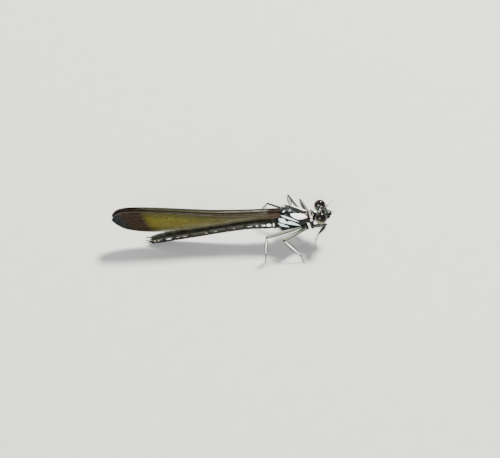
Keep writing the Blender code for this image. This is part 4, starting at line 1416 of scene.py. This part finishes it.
class LegShape:
    """The centre line of one leg with its breadth, its depth and its marks at each place."""

    def __init__(self, leg):
        self.leg = leg
        side, hip, knee, ankle, toe = leg_corners(leg)
        ahead = np.array((toe[0] - ankle[0], toe[1] - ankle[1], 0.0))
        ahead /= np.linalg.norm(ahead)
        heel = toe - ahead * 0.5
        heel[2] = 0.15
        tip = toe - ahead * 0.24
        tip[2] = 0.1
        self.path, self.at = rounded_path([hip, knee, ankle, heel, tip], 0.16, 0.035)
        self.ahead = ahead

        def nearest(place):
            return self.at[np.argmin(np.linalg.norm(self.path - place, axis=1))]

        self.knee, self.ankle = nearest(knee), nearest(ankle)
        self.end = self.at[-1]
        broad = 0.33 if leg.startswith("middle") else 0.25
        k, a, e = self.knee, self.ankle, self.end
        places = [0, 0.15, 0.35 * k, 0.8 * k, k - 0.28, k - 0.08, k + 0.1, k + 0.2,
                  k + 0.2 * (a - k), k + 0.45 * (a - k), k + 0.8 * (a - k), a - 0.1, a, a + 0.06, e]
        wide = [0.2, 0.26, 0.28, 0.26, 0.23, 0.21, 0.17, 0.12,
                broad * 0.85, broad, broad * 0.55, 0.085, 0.095, 0.07, 0.055]
        thin = [0.16, 0.2, 0.2, 0.18, 0.16, 0.17, 0.14, 0.1,
                0.075, 0.07, 0.07, 0.075, 0.09, 0.065, 0.05]
        self.wide = np.maximum(curve(places, wide)(self.at), 0.03)
        self.thin = np.maximum(curve(places, thin)(self.at), 0.03)
        # The foot's three short rings
        foot = np.clip((self.at - a) / (e - a), 0, 1) * (self.at > a)
        pinch = 1 - 0.28 * (bump(foot, 0.2, 0.03) + bump(foot, 0.5, 0.03) + bump(foot, 0.02, 0.02))
        self.wide *= pinch
        self.thin *= pinch
        end = np.clip((e - self.at) / 0.06, 0, 1)
        start = np.clip(self.at / 0.08, 0, 1)
        cap = np.sqrt(np.clip(1 - (1 - end) ** 2, 0.02, 1)) * np.sqrt(np.clip(1 - (1 - start) ** 2, 0.05, 1))
        self.wide *= cap
        self.thin *= cap
        self.facing = np.array((0.0, 0.72 * side, 0.7))

    def mesh(self, sides=20):
        rings, self.across, self.out, self.along = swept(self.path, self.wide, self.thin, self.facing, sides)
        angle = np.arange(sides) * 2 * math.pi / sides
        # Shallow grooves along both faces of the thigh and the shin
        groove = 1 - 0.1 * bump(np.abs(np.sin(angle)), 1, 0.06)
        middle = rings.mean(1, keepdims=True)
        rings = middle + (rings - middle) * groove[None, :, None]
        points, faces = closed_loft(rings)
        if not facing_out(points, np.array([f for f in faces if len(f) == 4])):
            faces = [tuple(reversed(f)) for f in faces]
        share = np.repeat(self.at, sides)
        spread = np.tile(np.abs(np.cos(angle)), len(self.at))
        upper = np.tile(np.sin(angle), len(self.at))
        # The front legs are dark all over, and the other thighs below
        marked = not self.leg.startswith("front")
        thigh = marked & (share < self.knee - 0.05)
        shin = marked & (share > self.knee + 0.175) & (share < self.ankle - 0.275)
        pale = np.where(thigh & (upper <= -0.3), -0.4, 0.5 - spread)
        pale = np.where(thigh | shin, pale, -0.5)
        tint = np.where(thigh, 0.03, 0.95)
        ends = len(points) - len(pale)
        return points, faces, np.append(pale, np.full(ends, -0.5)), np.append(tint, np.zeros(ends))

    def claws(self):
        """Two bent claws at the tip of the foot."""
        made = []
        start = self.path[-1]
        level = np.array((-self.ahead[1], self.ahead[0], 0.0))
        for way in (1, -1):
            t = np.linspace(0, 1, 12)[:, None]
            path = start + self.ahead * 0.17 * t + level * way * 0.08 * t
            path = path + np.array((0, 0, 1.0)) * (0.03 * np.sin(math.pi * t) - 0.06 * t**2)
            path[:, 2] = np.maximum(path[:, 2], 0.03)
            radius = 0.026 * (1 - 0.85 * t[:, 0])
            made.append(closed_loft(swept(path, radius, radius, (0, 0, 1), 10)[0]))
        return made

    def bristles(self, seed):
        """Roots, directions and lengths of the rows of bristles on the thigh and the shin."""
        random = np.random.default_rng(seed)
        roots, directions, lean, lengths = [], [], [], []
        for start, end, count, longest in (
            (0.5, self.knee - 0.25, 11, 0.5),
            (self.knee + 0.35, self.ankle - 0.08, 15, 1.0),
            (self.ankle + 0.15, self.end - 0.1, 5, 0.3),
        ):
            for way in (1, -1):
                for k in range(count):
                    at = start + (end - start) * (k + 0.5 + random.uniform(-0.2, 0.2)) / count
                    i = int(np.clip(np.searchsorted(self.at, at), 1, len(self.at) - 2))
                    out = self.across[i] * way
                    direction = out * 0.8 + self.along[i] * random.uniform(0.45, 0.65)
                    direction = direction + self.out[i] * random.uniform(-0.3, 0.3)
                    if self.path[i][2] < 0.5 and direction[2] < 0:
                        direction[2] *= -0.3
                    roots.append(self.path[i] + out * self.wide[i] * 0.9)
                    directions.append(direction / np.linalg.norm(direction))
                    lean.append(self.along[i])
                    lengths.append(longest * random.uniform(0.8, 1.1))
        return roots, directions, lean, lengths


class DAMSELFLY_OT_legs(bpy.types.Operator):
    """Builds the six legs with their claws and bristles"""

    bl_idname = "damselfly.legs"
    bl_label = "Legs"

    def execute(self, context):
        s = sizes()
        shell = leg_material(finishes())
        horn = dark_material("Claw", (0.01, 0.007, 0.005), (0.05, 0.025, 0.012), 14.0, 0.25)
        spine = dark_material("Bristle", (0.008, 0.007, 0.006), (0.03, 0.024, 0.018), 10.0, 0.4)
        tree = shared("Bristles", bristle_tree)
        grown_rows = [[], [], [], []]
        for number, leg in enumerate(LEG_JOINTS):
            shape = LegShape(leg)
            points, faces, pale, tint = shape.mesh()
            piece = mesh_piece(f"leg_{leg}_skin", points, faces, [shell], {"pale": pale, "tint": tint})
            finish_piece(piece, [f"leg_{leg}_femur", f"leg_{leg}_tibia"])
            points, faces = merged(shape.claws())
            finish_piece(mesh_piece(f"leg_{leg}_claws", points, faces, [horn]))
            for rows, some in zip(grown_rows, shape.bristles(BRISTLE_SEED + number)):
                rows.extend(some)
        roots, directions, lean, lengths = grown_rows
        attributes = {"direction": directions, "lean": lean, "length": lengths}
        carrier = add_points("leg_bristles", roots, attributes)
        values = {
            "Length": s.bristle_length * 1000,
            "Root Radius": 0.013,
            "Bend": 0.12,
            "Sides": 5,
            "Material": spine,
        }
        finish_piece(grown(carrier, tree, values))
        return {"FINISHED"}


# Studio

CAMERA_DISTANCE = 0.34
VIEW_WIDTH = 0.0715
SENSOR_WIDTH = 36
FLOOR_CORNERS = ((-900, -900), (900, -900), (900, 900), (-900, 900))


def aim(place, target, obj):
    obj.location = place
    obj.rotation_euler = (Vector(target) - Vector(place)).to_track_quat("-Z", "Y").to_euler()


def soft_light(name, place, target, size, power, tint):
    light = bpy.data.lights.new(name, "AREA")
    light.shape = "DISK"
    light.size = size
    light.energy = power
    light.color = tint
    made = bpy.data.objects.new(name, light)
    bpy.context.scene.collection.objects.link(made)
    aim(place, target, made)


class DAMSELFLY_OT_stage(bpy.types.Operator):
    """Builds the pale floor, the soft lights and the camera at the photograph's angle"""

    bl_idname = "damselfly.stage"
    bl_label = "Stage"

    def execute(self, context):
        scene = context.scene
        paint = Paint("Studio floor")
        spots = paint.noise(0.35, 4.0, 0.6)
        paint.bump(paint.noise(6.0, 3.0), 0.00002, 0.4)
        base = tuple(finishes().floor)
        material = paint.set(
            Base_Color=paint.mix(paint.ramp(spots, 0.3, 0.7), base, tuple(c * 0.97 for c in base)),
            Roughness=paint.ramp(spots, 0.3, 0.7, 0.75, 0.85),
        )
        corners = [(x, y, -BODY_PLACE[2]) for x, y in FLOOR_CORNERS]
        low = [(x, y, z - 5.0) for x, y, z in corners]
        faces = [(0, 1, 2, 3), (7, 6, 5, 4), (0, 4, 5, 1), (1, 5, 6, 2), (2, 6, 7, 3), (3, 7, 4, 0)]
        floor = mesh_piece("studio_floor", corners + low, faces, [material], smooth=False)
        target = (np.array((-6.4, 0.0, 2.1)) + BODY_PLACE) * 0.001
        azimuth, elevation = math.radians(-2.5), math.radians(45)
        level = math.cos(elevation)
        line = np.array((math.sin(azimuth) * level, -math.cos(azimuth) * level, math.sin(elevation)))
        camera = bpy.data.cameras.new("camera")
        camera.sensor_width = SENSOR_WIDTH
        camera.lens = SENSOR_WIDTH * CAMERA_DISTANCE / VIEW_WIDTH
        camera.clip_start = 0.001
        made = bpy.data.objects.new("camera", camera)
        scene.collection.objects.link(made)
        aim(target + line * CAMERA_DISTANCE, target, made)
        scene.camera = made
        middle = (np.array((-4.0, 0.0, 3.0)) + BODY_PLACE) * 0.001
        for name, away, size, power, tint in (
            ("key_light", (0.16, 0.225, 0.415), 0.12, 10.0, (1.0, 0.97, 0.92)),
            ("front_fill", (-0.22, -0.42, 0.17), 0.36, 4.2, (0.96, 0.98, 1.0)),
            ("rim_light", (-0.35, 0.3, 0.3), 0.25, 1.2, (1.0, 0.98, 0.95)),
        ):
            soft_light(name, middle + np.array(away), middle, size, power, tint)
        world = bpy.data.worlds.new("studio")
        world.use_nodes = True
        shade = world.node_tree.nodes["Background"]
        shade.inputs["Color"].default_value = (0.9, 0.93, 0.95, 1)
        shade.inputs["Strength"].default_value = 0.6
        scene.world = world
        return {"FINISHED"}


# Panel

class DAMSELFLY_PT_build(bpy.types.Panel):
    """Lists the sizes, the colours and the pieces"""

    bl_idname = "DAMSELFLY_PT_build"
    bl_label = "Damselfly"
    bl_space_type = "VIEW_3D"
    bl_region_type = "UI"
    bl_category = "Damselfly"

    def draw(self, context):
        for made in OPERATORS:
            self.layout.operator(made.bl_idname)
        for group in (context.scene.damselfly_sizes, context.scene.damselfly_colours):
            box = self.layout.box()
            for name in group.bl_rna.properties.keys():
                if name not in ("rna_type", "name"):
                    box.prop(group, name)


OPERATORS = (
    DAMSELFLY_OT_thorax,
    DAMSELFLY_OT_head,
    DAMSELFLY_OT_eyes,
    DAMSELFLY_OT_feelers,
    DAMSELFLY_OT_abdomen,
    DAMSELFLY_OT_wings,
    DAMSELFLY_OT_legs,
    DAMSELFLY_OT_stage,
)
CLASSES = (DamselflySizes, DamselflyColours, *OPERATORS, DAMSELFLY_PT_build)


def register():
    for made in CLASSES:
        bpy.utils.register_class(made)
    bpy.types.Scene.damselfly_sizes = PointerProperty(type=DamselflySizes)
    bpy.types.Scene.damselfly_colours = PointerProperty(type=DamselflyColours)


def unregister():
    del bpy.types.Scene.damselfly_sizes
    del bpy.types.Scene.damselfly_colours
    for made in reversed(CLASSES):
        bpy.utils.unregister_class(made)


def main():
    register()
    for made in OPERATORS:
        group, name = made.bl_idname.split(".")
        result = getattr(getattr(bpy.ops, group), name)()
        if result != {"FINISHED"}:
            raise RuntimeError(f"{made.bl_label} wasn't built")


if __name__ == "__main__":
    main()
